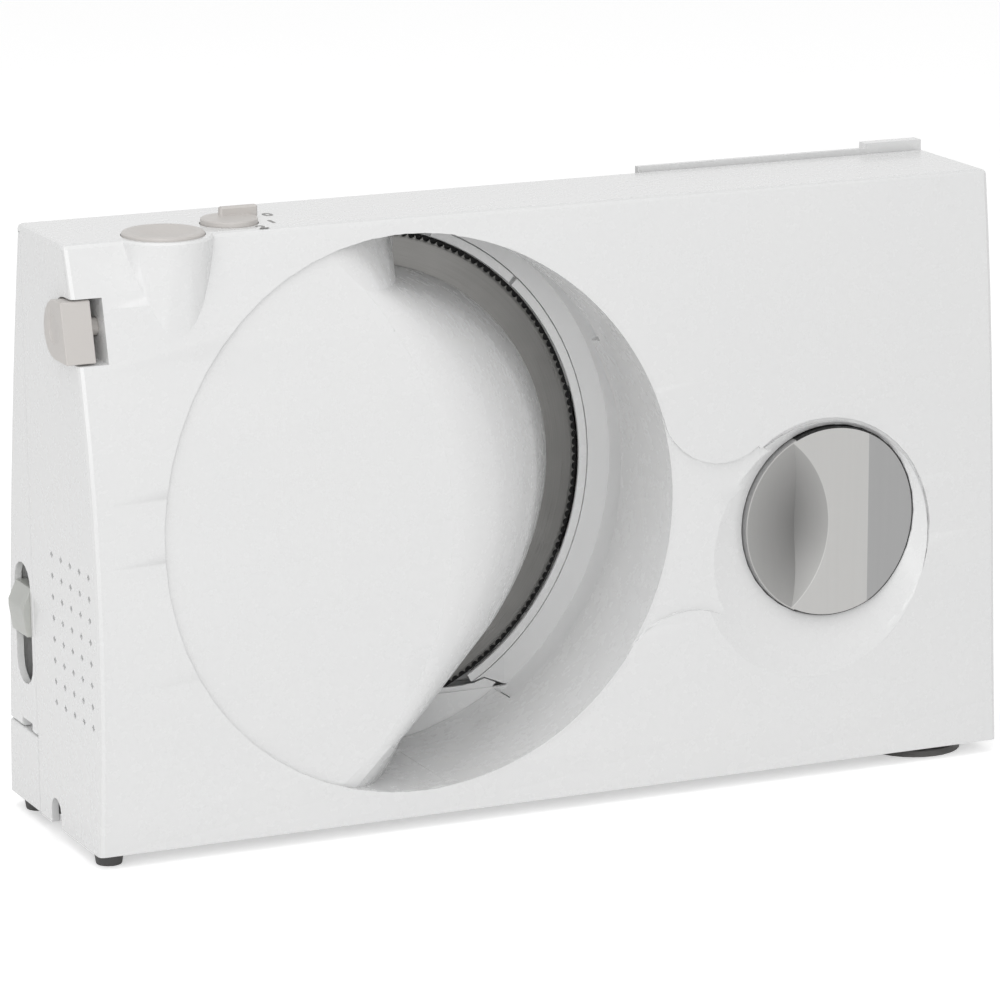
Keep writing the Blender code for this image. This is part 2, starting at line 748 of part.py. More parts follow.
def seats():
    """Solid places left standing inside the housing's room."""
    places = [dish_solid("dish_wall", WALL)]
    places.append(drum("knob_cup", (KNOB_X, KNOB_Z), KNOB_R + GAP + WALL, "Y", -OVERRUN, knob_floor_y() + WALL, ROUND_STEPS))
    for place in PIN_PLACES:
        places.append(drum("sleeve", place, PIN_R + GAP + PIN_SLEEVE_WALL, "Y", -OVERRUN, PIN_SLEEVE_END_Y, 12))
    for place in SCREW_PLACES:
        places.append(drum("post", place, POST_R, "Y", -OVERRUN, SEAM_Y, 8))
    places.append(drum("motor_cup", motor_place, MOTOR_R + GAP + WALL, "Y", -OVERRUN, MOTOR_CUP_DEPTH, 24))
    places.append(drum("bush_seat", (BLADE_X, BLADE_Z), bush_seat_r() + WALL, "Y", -OVERRUN,
                       SHAFT_START_Y + FRONT_BUSH_LENGTH, 16))
    shelf_top = switch_low_z() - GAP
    places.append(box("shelf", (ON_X - SWITCH_W / 2, -OVERRUN, shelf_top - WALL),
                      (ON_X + SWITCH_W / 2, ON_Y + SWITCH_D / 2 + SWITCH_SHELF_LAP, shelf_top)))
    places.append(drum("boss", (ON_X, ON_Y), ON_BOSS_LOW_R, "Z", ON_BOSS_LOW_Z, BODY_H, 28, ON_BOSS_R))
    places.append(drum("selector_cup", (SELECT_X, SELECT_Y), SELECT_R + GAP + WALL, "Z", BODY_H - SELECT_CUP_DEPTH,
                       BODY_H, 16))
    guide_x = SAFETY_INNER_X + SAFETY_TRAVEL + GAP
    places.append(box("safety_guide", (-HALF_W, -OVERRUN, SAFETY_Z - SAFETY_R - WALL),
                      (guide_x + WALL, SAFETY_Y + SAFETY_R + WALL, SAFETY_Z + SAFETY_R + WALL)))
    return places


def well_zone():
    """Wall round the well, with the island's own room taken out."""
    zone = drum("well_zone", (WELL_X, WELL_Z), WELL_R + WALL, "Y", -OVERRUN * 2, SHELL_BACK + OVERRUN * 2, WELL_STEPS)
    hollow = slab("hollow", [island_outline(WELL_R + WALL + OVERRUN, WALL)], "Y", -BLADE_R, BODY_W)
    cut(hollow, sweep_cutter("inner_sweep", WALL))
    keep(hollow, body_solid("inner_face", -OVERRUN, RECESS + WALL, -OVERRUN, BODY_H + OVERRUN, BODY_W))
    return cut(zone, hollow)


def build_front_housing():
    shell = body_solid("front_housing", 0, 0, -OVERRUN, BODY_H, SHELL_BACK + OVERRUN)
    bevel(shell, EDGE_ROUND)
    trim(shell, (0, SHELL_BACK, 0), (0, 1, 0))
    trim(shell, (0, 0, 0), (0, 0, -1))
    boss = drum("on_boss", (ON_X, ON_Y), ON_BOSS_LOW_R, "Z", ON_BOSS_LOW_Z, BODY_H, 28, ON_BOSS_R)
    join(shell, bevel(boss, EDGE_ROUND / 2, 1))

    keyhole = slab("keyhole", [keyhole_outline()], "Y", -BLADE_R, KNOB_R)
    cut(keyhole, body_solid("face_skin", -OVERRUN, RECESS, -OVERRUN, BODY_H + OVERRUN, BODY_W))
    cut(shell, keyhole)

    well = drum("well", (WELL_X, WELL_Z), WELL_R, "Y", -BLADE_R, BODY_W, WELL_STEPS)
    island = slab("island", [island_outline(WELL_R + OVERRUN, 0)], "Y", -BLADE_R - OVERRUN, BODY_W + OVERRUN)
    cut(island, sweep_cutter("sweep", 0))
    cut(shell, cut(well, island))

    room = body_solid("room", WALL, WALL, -OVERRUN, BODY_H - WALL, SHELL_BACK + OVERRUN)
    cut(room, well_zone(), *seats())
    cut(shell, room)

    cut(shell, dish_solid("dish", 0))
    cut(shell, drum("knob_hole", (KNOB_X, KNOB_Z), KNOB_R + GAP, "Y", -OVERRUN, knob_floor_y(), ROUND_STEPS))
    cut(shell, drum("hub_hole", (KNOB_X, KNOB_Z), HUB_OUTER_R + GAP, "Y", 0, knob_floor_y() + OVERRUN, 20))
    cut(shell, ring_sector("skirt_slot", WELL_R - WALL, WELL_R + WALL * 2, SLOT_LOW_DEG, SLOT_MIDDLE_DEG,
                           PLATE_Y - PLATE_TRAVEL - GAP, SHELL_BACK + OVERRUN, 24))
    cut(shell, ring_sector("upper_slot", WELL_R - WALL, WELL_R + WALL * 2, SLOT_MIDDLE_DEG - 1, SLOT_TOP_DEG,
                           SLOT_TOP_Y, SHELL_BACK + OVERRUN, 10))
    for place in PIN_PLACES:
        bore_start = PLATE_Y - PIN_LENGTH - PLATE_TRAVEL - GAP
        cut(shell, drum("sleeve_bore", place, PIN_R + GAP, "Y", bore_start, SHELL_BACK, 12))
    for place in SCREW_PLACES:
        cut(shell, drum("screw_bore", place, SCREW_R + GAP, "Y", POST_DEPTH_Y, SHELL_BACK, 8))
    cut(shell, drum("motor_room", motor_place, MOTOR_R + GAP, "Y", MOTOR_FRONT_Y - GAP, SHELL_BACK, 24))
    cut(shell, drum("bush_room", (BLADE_X, BLADE_Z), bush_seat_r(), "Y", SHAFT_START_Y - GAP, GEAR_Y, 16))
    cut_button_places(shell)
    cut_side_openings(shell)
    cut(shell, box("level_seam", (-HALF_W - OVERRUN, SEAM_Y, -OVERRUN), (HALF_W + OVERRUN, SHELL_BACK + OVERRUN, SEAM_Z)))
    seam_x = -HALF_W + SIDE_INSET + WALL
    cut(shell, box("side_seam", (-HALF_W - OVERRUN, SEAM_Y, -OVERRUN), (seam_x, SHELL_BACK + OVERRUN, BODY_H - WALL)))
    return finish(shell, "front_housing", white_gloss)


def cut_button_places(shell):
    floor_z = ON_STEP_Z - ON_TRAVEL
    cut(shell, drum("on_hole", (ON_X, ON_Y), ON_R + GAP, "Z", floor_z, BODY_H + OVERRUN, 28))
    cut(shell, drum("on_stem_hole", (ON_X, ON_Y), ON_STEM_R + GAP, "Z", ON_BOSS_LOW_Z - OVERRUN, BODY_H, 12))
    cut(shell, drum("on_core", (ON_X, ON_Y), ON_BOSS_LOW_R - WALL, "Z", ON_BOSS_LOW_Z - OVERRUN, floor_z - WALL, 12))
    cut(shell, drum("selector_seat", (SELECT_X, SELECT_Y), SELECT_R + GAP, "Z", BODY_H - SELECT_SINK - GAP,
                    BODY_H + OVERRUN, 24))
    cut(shell, drum("selector_bore", (SELECT_X, SELECT_Y), SELECT_STEM_R + GAP, "Z",
                    BODY_H - SELECT_STEM_LENGTH - OVERRUN, BODY_H, 12))
    guide_x = SAFETY_INNER_X + SAFETY_TRAVEL + GAP
    cut(shell, slab("safety_corner", [safety_outline(GAP)], "X", -HALF_W - OVERRUN, guide_x))
    cut(shell, drum("safety_bore", (SAFETY_Y, SAFETY_Z), SAFETY_STEM_R + GAP, "X", -HALF_W, ON_X, 10))


def safety_outline(extra):
    """Side button's outline: round at the back, straight to the front face."""
    radius = SAFETY_R + extra
    back = arc(SAFETY_Y, SAFETY_Z, radius, -90, 90, 10)
    reach = SAFETY_Y - SAFETY_R - OVERRUN
    return back + [(reach, SAFETY_Z + radius), (reach, SAFETY_Z - radius)]


def cut_side_openings(shell):
    vents = []
    for column in range(VENT_COLUMNS):
        for row in range(VENT_ROWS):
            place = (VENT_FIRST_Y + column * VENT_PITCH_Y, VENT_FIRST_Z + row * VENT_PITCH_Z)
            vents.append(arc(*place, VENT_R, 0, 360, 4)[:-1])
    cut(shell, slab("vents", vents, "X", -HALF_W - OVERRUN, -HALF_W + SIDE_INSET + WALL + LAP))
    cut(shell, cable_notch(-HALF_W + SIDE_INSET + WALL + LAP))


def cable_notch(inner_x):
    """Arched way for the mains cord, from outside to the given depth."""
    top = NOTCH_H - NOTCH_W / 4
    notch = rectangle(NOTCH_Y - NOTCH_W / 2, -OVERRUN, NOTCH_Y + NOTCH_W / 2, top)
    notch[3:3] = arc(NOTCH_Y, top, NOTCH_W / 2, 0, 180, 6)[1:-1]
    return slab("cable_notch", [notch], "X", -HALF_W - OVERRUN, inner_x)


# Rear cover with the cheek
def cheek_solid(name, side, inner_x, low, top, front, back_wall):
    rings = []
    for i in range(FACE_STATIONS + 1):
        z = low + (top - low) * i / FACE_STATIONS
        back = cheek_y(z) - back_wall
        rings.append([(left_x(z) + side, front, z), (inner_x, front, z), (inner_x, back, z), (left_x(z) + side, back, z)])
    return loft(name, rings)


def build_rear_cover():
    plate_front = SEAM_Y + GAP
    cheek_right = -HALF_W + CHEEK_W
    disc = arc(BLADE_X, BLADE_Z, ISLAND_EDGE_R - COVER_EDGE_IN, ISLAND_LOW_DEG, ISLAND_TOP_DEG, 20)
    left = -HALF_W + SIDE_INSET + WALL + GAP
    foot_x = ISLAND_FOOT_X - WALL - COVER_EDGE_IN
    tip_x = ISLAND_TIP_X - COVER_TIP_IN
    low = SILL_H + GAP
    outline = [(foot_x, low), (foot_x, ISLAND_FOOT_Z + COVER_EDGE_IN)] + disc
    outline += [(tip_x, disc[-1][1] + LAP), (tip_x, BODY_H - WALL - GAP)]
    outline += [(left, BODY_H - WALL - GAP), (left, SEAM_Z + GAP), (cheek_right + GAP, SEAM_Z + GAP),
                (cheek_right + GAP, low)]
    cover = slab("rear_cover", [outline], "Y", plate_front, plate_front + COVER_T)

    for place, radius in ((middle_place, MIDDLE_PIN_R), (motor_place, MOTOR_SHAFT_R)):
        join(cover, drum("pin_boss", place, radius + GAP + WALL, "Y", plate_front - WALL, plate_front + LAP, 12))
        cut(cover, drum("pin_bore", place, radius + GAP, "Y", plate_front - WALL - OVERRUN, plate_front + COVER_T / 2,
                        12))
    guard_in = BLADE_R + GUARD_IN_GAP
    guard = arc(BLADE_X, BLADE_Z, guard_in + GUARD_W, GUARD_TOP_DEG, GUARD_LOW_DEG, 28)
    guard += arc(BLADE_X, BLADE_Z, guard_in, GUARD_LOW_DEG, GUARD_TOP_DEG, 28)
    join(cover, slab("guard", [guard], "Y", plate_front + COVER_T / 2, BLADE_Y + BLADE_T))

    cheek = cheek_solid("cheek", 0, cheek_right, SEAM_Z + GAP, BODY_H, plate_front, 0)
    bevel(cheek, EDGE_ROUND)
    room = cheek_solid("cheek_room", WALL, cheek_right - WALL, SEAM_Z + GAP + WALL, BODY_H - WALL,
                       SEAM_Y - OVERRUN, WALL)
    cut(cheek, room)
    cut(cheek, box("top_clear", (-HALF_W + SIDE_INSET, SEAM_Y, BODY_H - WALL - GAP),
                   (cheek_right + LAP, SHELL_BACK + GAP, BODY_H + OVERRUN)))
    cut(cheek, box("top_clear_side", (-HALF_W - OVERRUN, SEAM_Y, BODY_H - WALL - GAP),
                   (cheek_right + LAP, SHELL_BACK + GAP, BODY_H + OVERRUN)))
    join(cover, cheek)

    pocket_back = SHELL_BACK
    bore_r = SHAFT_R + GAP / 2 + BUSH_WALL + GAP
    floor_back = pocket_back - POCKET_DEPTH
    cut(cover, drum("pocket", (BLADE_X, BLADE_Z), POCKET_R, "Y", SEAM_Y - OVERRUN, SHELL_BACK + OVERRUN, COVER_STEPS))
    dish = turned("pocket_dish", [(POCKET_R + COVER_T, pocket_back - LAP / 2), (POCKET_R + COVER_T, floor_back - COVER_T),
                                  (bore_r + WALL, floor_back - COVER_T), (bore_r + WALL, GEAR_Y + GEAR_W + GAP),
                                  (bore_r, GEAR_Y + GEAR_W + GAP), (bore_r, floor_back),
                                  (POCKET_R - LAP, floor_back), (POCKET_R - LAP, pocket_back - LAP / 2)],
                  (BLADE_X, BLADE_Z), COVER_STEPS)
    join(cover, dish)

    for place in SCREW_PLACES:
        cut(cover, drum("screw_way", place, SCREW_R + GAP, "Y", plate_front - OVERRUN, plate_front + OVERRUN, 8))
        cut(cover, drum("screw_seat", place, SCREW_HEAD_R + GAP, "Y", SHELL_BACK - SCREW_HEAD_H,
                        SHELL_BACK + OVERRUN + CHEEK_FOOT_Y, 12))
    low, top = SLOT_LOW_Z + SLOT_W / 2, SLOT_TOP_Z - SLOT_W / 2
    stadium = arc(SLOT_Y, low, SLOT_W / 2, -180, 0, 8) + arc(SLOT_Y, top, SLOT_W / 2, 0, 180, 8)
    cut(cover, slab("slot", [stadium], "X", -HALF_W - OVERRUN, -HALF_W + SIDE_INSET + WALL + LAP))
    cut(cover, box("snap", (-HALF_W - OVERRUN, SNAP_Y - SNAP_W / 2, SEAM_Z),
                   (-HALF_W + SIDE_INSET + WALL + LAP, SNAP_Y + SNAP_W / 2, SEAM_Z + SNAP_H)))
    return finish(cover, "rear_cover", white_gloss)


# Base frame: tray, sill, cheek foot and hinge lug
def build_base_frame():
    outline = []
    for j in range(FACE_COLUMNS + 1):
        left, right = left_x(0) + WALL + GAP, HALF_W - WALL - GAP
        x = left + (right - left) * j / FACE_COLUMNS
        outline.append((x, front_y(x, 0) + WALL + GAP * 2))
    outline += [(HALF_W - WALL - GAP, SEAM_Y), (left_x(0) + WALL + GAP, SEAM_Y)]
    base = slab("base_frame", [outline], "Z", 0, TRAY_T)
    cheek_right = -HALF_W + CHEEK_W
    foot = cheek_solid("cheek_foot", 0, cheek_right, 0, SEAM_Z, SEAM_Y + GAP, 0)
    bevel(foot, EDGE_ROUND / 2)
    cut(foot, cheek_solid("foot_room", WALL, cheek_right - WALL, -OVERRUN, SEAM_Z - WALL, SEAM_Y + WALL, WALL))
    lug_left = HALF_W - LUG_W
    lug_back = cheek_y(HINGE_Z)
    lug = slab("lug", [[(SEAM_Y + GAP, 0), (lug_back, 0), (lug_back, SEAM_Z / 2), (HINGE_Y, SEAM_Z - WALL),
                        (SEAM_Y + GAP, SEAM_Z - WALL)]], "X", lug_left, HALF_W)
    cut(lug, box("lug_room", (lug_left + WALL, SEAM_Y + WALL, -OVERRUN), (HALF_W - WALL, lug_back - WALL, SEAM_Z / 2)))
    sill = box("sill", (cheek_right - LAP, SEAM_Y + GAP, 0), (lug_left + LAP, SILL_BACK_Y, SILL_H))
    cut(sill, box("sill_room", (cheek_right, SEAM_Y + WALL, -OVERRUN), (lug_left, SILL_BACK_Y - WALL, SILL_H - WALL)))
    riser = box("riser", (ISLAND_FOOT_X + LAP, SEAM_Y + GAP, SILL_H - LAP),
                (HALF_W - WALL - GAP, PLATE_Y, PLATE_FOOT_Z - GAP))
    bridge = box("bridge", (left_x(0) + WALL + GAP, SEAM_Y - LAP, 0), (HALF_W - WALL - GAP, SEAM_Y + WALL + LAP, TRAY_T))
    join(base, bridge, sill, foot, lug, riser)
    clear_blade = drum("blade_clear", (BLADE_X, BLADE_Z), BLADE_R + GUARD_IN_GAP, "Y", SEAM_Y, SHELL_BACK + OVERRUN, 48)
    clear_top = box("clear_top", (BLADE_X - BLADE_R, BLADE_Y - LAP, SILL_H - OVERRUN),
                    (BLADE_X + BLADE_R, BLADE_Y + BLADE_T + LAP, SEAM_Z))
    keep(clear_blade, clear_top)
    cut(base, clear_blade)
    for low, high in hinge_pin_spans():
        cut(base, drum("hinge_bore", (HINGE_Y, HINGE_Z), HINGE_PIN_R + PRESS_GAP, "X", low - GAP, high + GAP, 16))
    for x, y in FOOT_PLACES.values():
        if y < SEAM_Y:
            cut(base, drum("foot_hole", (x, y), FOOT_PEG_R + PRESS_GAP, "Z", -OVERRUN, TRAY_T + OVERRUN, 12))
    cut(base, cable_notch(-HALF_W + NOTCH_DEPTH))
    cut(base, drum("suction_hole", (SUCTION_X, SUCTION_Y), FOOT_PEG_R + PRESS_GAP, "Z", -OVERRUN, TRAY_T + OVERRUN, 12))
    return finish(base, "base_frame", white_gloss)


def hinge_pin_spans():
    left = -HALF_W + CHEEK_W
    right = HALF_W - LUG_W
    return ((left - HINGE_PIN_ROOT, left + HINGE_PIN_REACH), (right - HINGE_PIN_REACH, right + HINGE_PIN_ROOT))


def build_hinge_pins():
    for side, (low, high) in zip(("left", "right"), hinge_pin_spans()):
        pin = drum("pin", (HINGE_Y, HINGE_Z), HINGE_PIN_R, "X", low, high, 16)
        finish(pin, f"table_hinge_pin_{side}", bright_steel)


# Stop plate, guide pins, knob and spindle
def plate_outline():
    """Arc beside the blade, a narrow band above it, and the plate's straight right side."""
    right = HALF_W - WALL - 2 * GAP
    top = BODY_H - WALL - 2 * GAP
    low = PLATE_FOOT_Z
    band_r = WELL_R + WALL + 2 * GAP + SKIRT_T
    edge = arc(BLADE_X, BLADE_Z, BLADE_R + PLATE_EDGE_GAP, PLATE_BAND_DEG, PLATE_LOW_DEG, 28)
    band = arc(WELL_X, WELL_Z, band_r, PLATE_TOP_DEG, PLATE_BAND_DEG, 8)
    return [(edge[-1][0], low), (right, low), (right, top), (PLATE_SHOULDER_X, top)] + band + edge


def build_stop_plate(frame):
    plate = slab("stop_plate", [plate_outline()], "Y", PLATE_Y, PLATE_Y + PLATE_T)
    skirt_in = WELL_R + WALL + GAP
    skirt = ring_sector("skirt", skirt_in, skirt_in + SKIRT_T, PLATE_LOW_DEG - 1, PLATE_BAND_DEG - 1,
                        PLATE_Y - SKIRT_DEPTH, PLATE_Y + LAP, 28)
    right = HALF_W - WALL - 2 * GAP
    top = BODY_H - WALL - 2 * GAP
    rim = slab("rim", [[(PLATE_SHOULDER_X, top), (PLATE_SHOULDER_X, top - PLATE_RIM), (right - PLATE_RIM, top - PLATE_RIM),
                        (right - PLATE_RIM, PLATE_FOOT_Z + PLATE_RIM), (DISH_X, PLATE_FOOT_Z + PLATE_RIM),
                        (DISH_X, PLATE_FOOT_Z), (right, PLATE_FOOT_Z), (right, top)]], "Y",
               PLATE_Y - PLATE_RIM_DEPTH, PLATE_Y + LAP)
    nut_r = SPINDLE_R + GAP + NUT_WALL
    nut = drum("nut", (KNOB_X, KNOB_Z), nut_r, "Y", NUT_START_Y, PLATE_Y + LAP, 20)
    cut(nut, drum("nut_bore", (KNOB_X, KNOB_Z), SPINDLE_R + GAP, "Y", NUT_START_Y - OVERRUN, PLATE_Y - PRESS_GAP, 20))
    join(plate, skirt, rim, nut)
    for x, z in PIN_PLACES:
        join(plate, drum("pin_boss", (x, z), PIN_R + PRESS_GAP + PIN_SLEEVE_WALL, "Y",
                         PLATE_Y - PLATE_RIM_DEPTH + WALL, PLATE_Y + LAP, 12))
        cut(plate, drum("pin_bore", (x, z), PIN_R + PRESS_GAP, "Y", PLATE_Y - PLATE_RIM_DEPTH - OVERRUN, PLATE_Y, 12))
    return finish(plate, "stop_plate", white_gloss, frame)


def build_guide_pins(frame):
    for number, place in enumerate(PIN_PLACES, 1):
        pin = drum("plate_pin", place, PIN_R, "Y", PLATE_Y - PIN_LENGTH, PLATE_Y - PRESS_GAP, 16)
        finish(pin, f"plate_guide_pin_{number}", bright_steel, frame)


def knob_scoop():
    """Boat-shaped cutter: its left side follows the knob's rim, its right side a wide arc, with a valley between."""
    end_x = KNOB_X - KNOB_R * SCOOP_END_SHARE
    half = KNOB_R * (1 - SCOOP_END_SHARE ** 2) ** 0.5
    right_r = (half ** 2 + SCOOP_RIGHT_OUT ** 2) / (2 * SCOOP_RIGHT_OUT)
    rings = []
    for i in range(SCOOP_STATIONS + 1):
        part = SCOOP_REACH_SHARE * (2 * i / SCOOP_STATIONS - 1)
        up = half * part
        depth = SCOOP_DEPTH * (1 - part ** 2) ** 0.75
        left = KNOB_X - (KNOB_R ** 2 - up ** 2) ** 0.5 + LAP
        right = end_x + (right_r ** 2 - up ** 2) ** 0.5 - right_r + SCOOP_RIGHT_OUT
        valley = end_x + SCOOP_VALLEY_IN * (1 - part ** 2)
        lift = OVERRUN / depth
        ring = [(valley, depth), (right + (right - valley) * lift, -OVERRUN), (left - (valley - left) * lift, -OVERRUN)]
        rings.append([(x, KNOB_FACE_Y + deep, KNOB_Z + up) for x, deep in ring])
    return loft("scoop", rings)


def build_knob(frame):
    """Cup-shaped knob with a scoop, a finger bar and a flat strip."""
    back = KNOB_FACE_Y + KNOB_DEPTH
    knob = drum("knob", (KNOB_X, KNOB_Z), KNOB_R, "Y", KNOB_FACE_Y, back, 40)
    bevel(knob, KNOB_WALL / 4, 1)
    cut(knob, knob_scoop())
    strip = KNOB_X + KNOB_R * KNOB_STRIP_SHARE
    cut(knob, box("strip", (strip, KNOB_FACE_Y - OVERRUN, KNOB_Z - DISH_R),
                  (KNOB_X + DISH_R, KNOB_FACE_Y + KNOB_STRIP_DROP, KNOB_Z + DISH_R)))
    skin_y = KNOB_FACE_Y + SCOOP_DEPTH + KNOB_WALL
    cut(knob, drum("knob_room", (KNOB_X, KNOB_Z), KNOB_R - KNOB_WALL, "Y", skin_y, back + OVERRUN, 28))
    join(knob, drum("knob_hub", (KNOB_X, KNOB_Z), HUB_OUTER_R, "Y", skin_y - LAP, knob_floor_y() + WALL, 20))
    cut(knob, drum("spindle_socket", (KNOB_X, KNOB_Z), SPINDLE_R + PRESS_GAP, "Y", skin_y, back + OVERRUN, 20))
    return finish(knob, "thickness_knob", silver, frame)


def build_spindle(frame):
    start = KNOB_FACE_Y + SCOOP_DEPTH + KNOB_WALL + PRESS_GAP
    spindle = drum("spindle", (KNOB_X, KNOB_Z), SPINDLE_R, "Y", start, SPINDLE_END_Y, 20)
    collar = knob_floor_y() + WALL + GAP
    join(spindle, drum("collar", (KNOB_X, KNOB_Z), COLLAR_R, "Y", collar, collar + COLLAR_T, 24))
    return finish(spindle, "knob_spindle", gear_nylon, frame)


# Blade and drive
def build_blade(frame):
    back = BLADE_Y + BLADE_T
    sunk = BLADE_DISH_DEPTH
    hole = NECK_R + PRESS_GAP
    run = BLADE_DISH_R + BLADE_DISH_RUN
    skin = PRESS_GAP
    profile = [(hole, back - sunk), (BLADE_DISH_R, back - sunk), (run, back - skin), (BLADE_LAP_R + LAP, back - skin),
               (BLADE_LAP_R + LAP, BLADE_Y + skin), (run, BLADE_Y + skin), (BLADE_DISH_R, BLADE_Y - sunk),
               (hole, BLADE_Y - sunk)]
    blade = turned("blade", profile, (BLADE_X, BLADE_Z), 36)
    ring = []
    for i in range(BLADE_TEETH):
        for part, drop in ((0.0, 0.0), (0.5, TOOTH_DEPTH)):
            angle = 2 * pi * (i + part) / BLADE_TEETH
            radius = BLADE_R - drop
            ring.append((BLADE_X + radius * cos(angle), BLADE_Z + radius * sin(angle)))
    inner = arc(BLADE_X, BLADE_Z, BLADE_LAP_R, 0, 360, 36)[:-1]
    join(blade, slab("edge", [ring, inner], "Y", BLADE_Y, back))
    return finish(blade, "blade", blade_steel, frame)


def build_blade_hub(frame):
    sunk_front = BLADE_Y - BLADE_DISH_DEPTH
    bore = SHAFT_R + PRESS_GAP
    neck_end = LOCK_FACE_Y - WALL / 2
    profile = [(NECK_R, neck_end), (NECK_R, sunk_front - PRESS_GAP), (HUB_R, sunk_front - PRESS_GAP),
               (HUB_R, sunk_front - PRESS_GAP - HUB_T), (bore, sunk_front - PRESS_GAP - HUB_T), (bore, neck_end)]
    return finish(turned("hub", profile, (BLADE_X, BLADE_Z), 24), "blade_hub", black_plastic, frame)


def build_blade_lock(frame):
    front = BLADE_Y + BLADE_T - BLADE_DISH_DEPTH + PRESS_GAP
    lock = drum("lock", (BLADE_X, BLADE_Z), LOCK_R, "Y", front, LOCK_FACE_Y, 24)
    cut(lock, drum("lock_bore", (BLADE_X, BLADE_Z), NECK_R + PRESS_GAP, "Y", front - OVERRUN,
                   LOCK_FACE_Y - WALL / 2 + PRESS_GAP, 24))
    for side in (-1, 1):
        place = (BLADE_X + side * (LOCK_R + NECK_R) / 2, BLADE_Z)
        cut(lock, drum("grip", place, LOCK_GRIP_R, "Y", front + PRESS_GAP * 4, LOCK_FACE_Y + OVERRUN, 12))
    return finish(lock, "blade_lock", black_plastic, frame)


def build_blade_shaft(frame):
    end = LOCK_FACE_Y - WALL / 2 - PRESS_GAP
    shaft = drum("shaft", (BLADE_X, BLADE_Z), SHAFT_R, "Y", SHAFT_START_Y, end, 16)
    return finish(shaft, "blade_shaft", bright_steel, frame)


def gear_outline(centre, teeth, module, turn):
    """Straight-sided teeth, slim enough to run with play."""
    pitch_r = module * teeth / 2
    points = []
    for i in range(teeth):
        for side, radius, share in ((-1, pitch_r - 1.2 * module, TOOTH_ROOT_SHARE), (-1, pitch_r + 0.8 * module, TOOTH_TIP_SHARE),
                                    (1, pitch_r + 0.8 * module, TOOTH_TIP_SHARE), (1, pitch_r - 1.2 * module, TOOTH_ROOT_SHARE)):
            angle = turn + 2 * pi * (i + side * share) / teeth
            points.append((centre[0] + radius * cos(angle), centre[1] + radius * sin(angle)))
    return points


def mesh_turn(turn_a, teeth_a, teeth_b, direction):
    """Turn that puts a gap of gear B on the line where a tooth phase of gear A stands."""
    phase_a = ((direction - turn_a) * teeth_a / (2 * pi)) % 1
    return direction + pi - 2 * pi * (0.5 - phase_a) / teeth_b


def build_blade_gear(frame):
    centre = (BLADE_X, BLADE_Z)
    bore = arc(*centre, SHAFT_R + PRESS_GAP, 0, 360, 16)[:-1]
    gear = slab("blade_gear", [gear_outline(centre, BLADE_GEAR_TEETH, GEAR_MODULE, 0), bore], "Y", GEAR_Y, GEAR_Y + GEAR_W)
    rim_r = GEAR_MODULE * BLADE_GEAR_TEETH / 2 - GEAR_RIM
    floor = GEAR_Y + GEAR_WEB_T
    groove = [(rim_r, floor + GEAR_W), (rim_r, floor), (GEAR_HUB_R, floor), (GEAR_HUB_R, floor + GEAR_W)]
    cut(gear, turned("groove", groove, centre, 24))
    return finish(gear, "blade_gear", gear_nylon, frame)


def build_middle_gear(frame):
    direction = radians(MIDDLE_DEG)
    turn = mesh_turn(0, BLADE_GEAR_TEETH, MIDDLE_SMALL_TEETH, direction)
    small = gear_outline(middle_place, MIDDLE_SMALL_TEETH, GEAR_MODULE, turn)
    large = gear_outline(middle_place, MIDDLE_LARGE_TEETH, FAST_MODULE, 0)
    bore = arc(*middle_place, MIDDLE_PIN_R + GAP, 0, 360, 12)[:-1]
    gear = slab("middle_gear", [small], "Y", GEAR_Y, GEAR_Y + GEAR_W + LAP)
    join(gear, slab("large", [large], "Y", GEAR_Y + GEAR_W + FAST_GAP, GEAR_Y + GEAR_W + FAST_GAP + FAST_W))
    cut(gear, slab("bore", [bore], "Y", GEAR_Y - OVERRUN, SHELL_BACK))
    return finish(gear, "intermediate_gear", gear_nylon, frame)


def build_middle_pin():
    pin = drum("pin", middle_place, MIDDLE_PIN_R, "Y", GEAR_Y - WALL, SEAM_Y + GAP + COVER_T / 2 - GAP, 12)
    return finish(pin, "gear_pin", bright_steel)


def build_pinion(frame):
    direction = radians(MOTOR_DEG)
    turn = mesh_turn(0, MIDDLE_LARGE_TEETH, PINION_TEETH, direction)
    low = GEAR_Y + GEAR_W + FAST_GAP
    bore = arc(*motor_place, MOTOR_SHAFT_R + PRESS_GAP, 0, 360, 12)[:-1]
    outline = gear_outline(motor_place, PINION_TEETH, FAST_MODULE, turn)
    return finish(slab("pinion", [outline, bore], "Y", low, low + FAST_W), "motor_pinion", bright_steel, frame)


def build_motor_can():
    end = MOTOR_FRONT_Y + MOTOR_LENGTH
    can = drum("motor_can", motor_place, MOTOR_R, "Y", MOTOR_FRONT_Y, end, 24)
    bevel(can, GAP * 4, 1)
    cut(can, drum("bearing", motor_place, MOTOR_SHAFT_R + PRESS_GAP, "Y", end - MOTOR_BEARING, end + OVERRUN, 12))
    return finish(can, "motor_can", zinc_steel)


def build_motor_shaft(frame):
    start = MOTOR_FRONT_Y + MOTOR_LENGTH - MOTOR_BEARING + GAP
    shaft = drum("motor_shaft", motor_place, MOTOR_SHAFT_R, "Y", start, SEAM_Y + GAP + COVER_T / 2 - GAP, 12)
    return finish(shaft, "motor_shaft", bright_steel, frame)


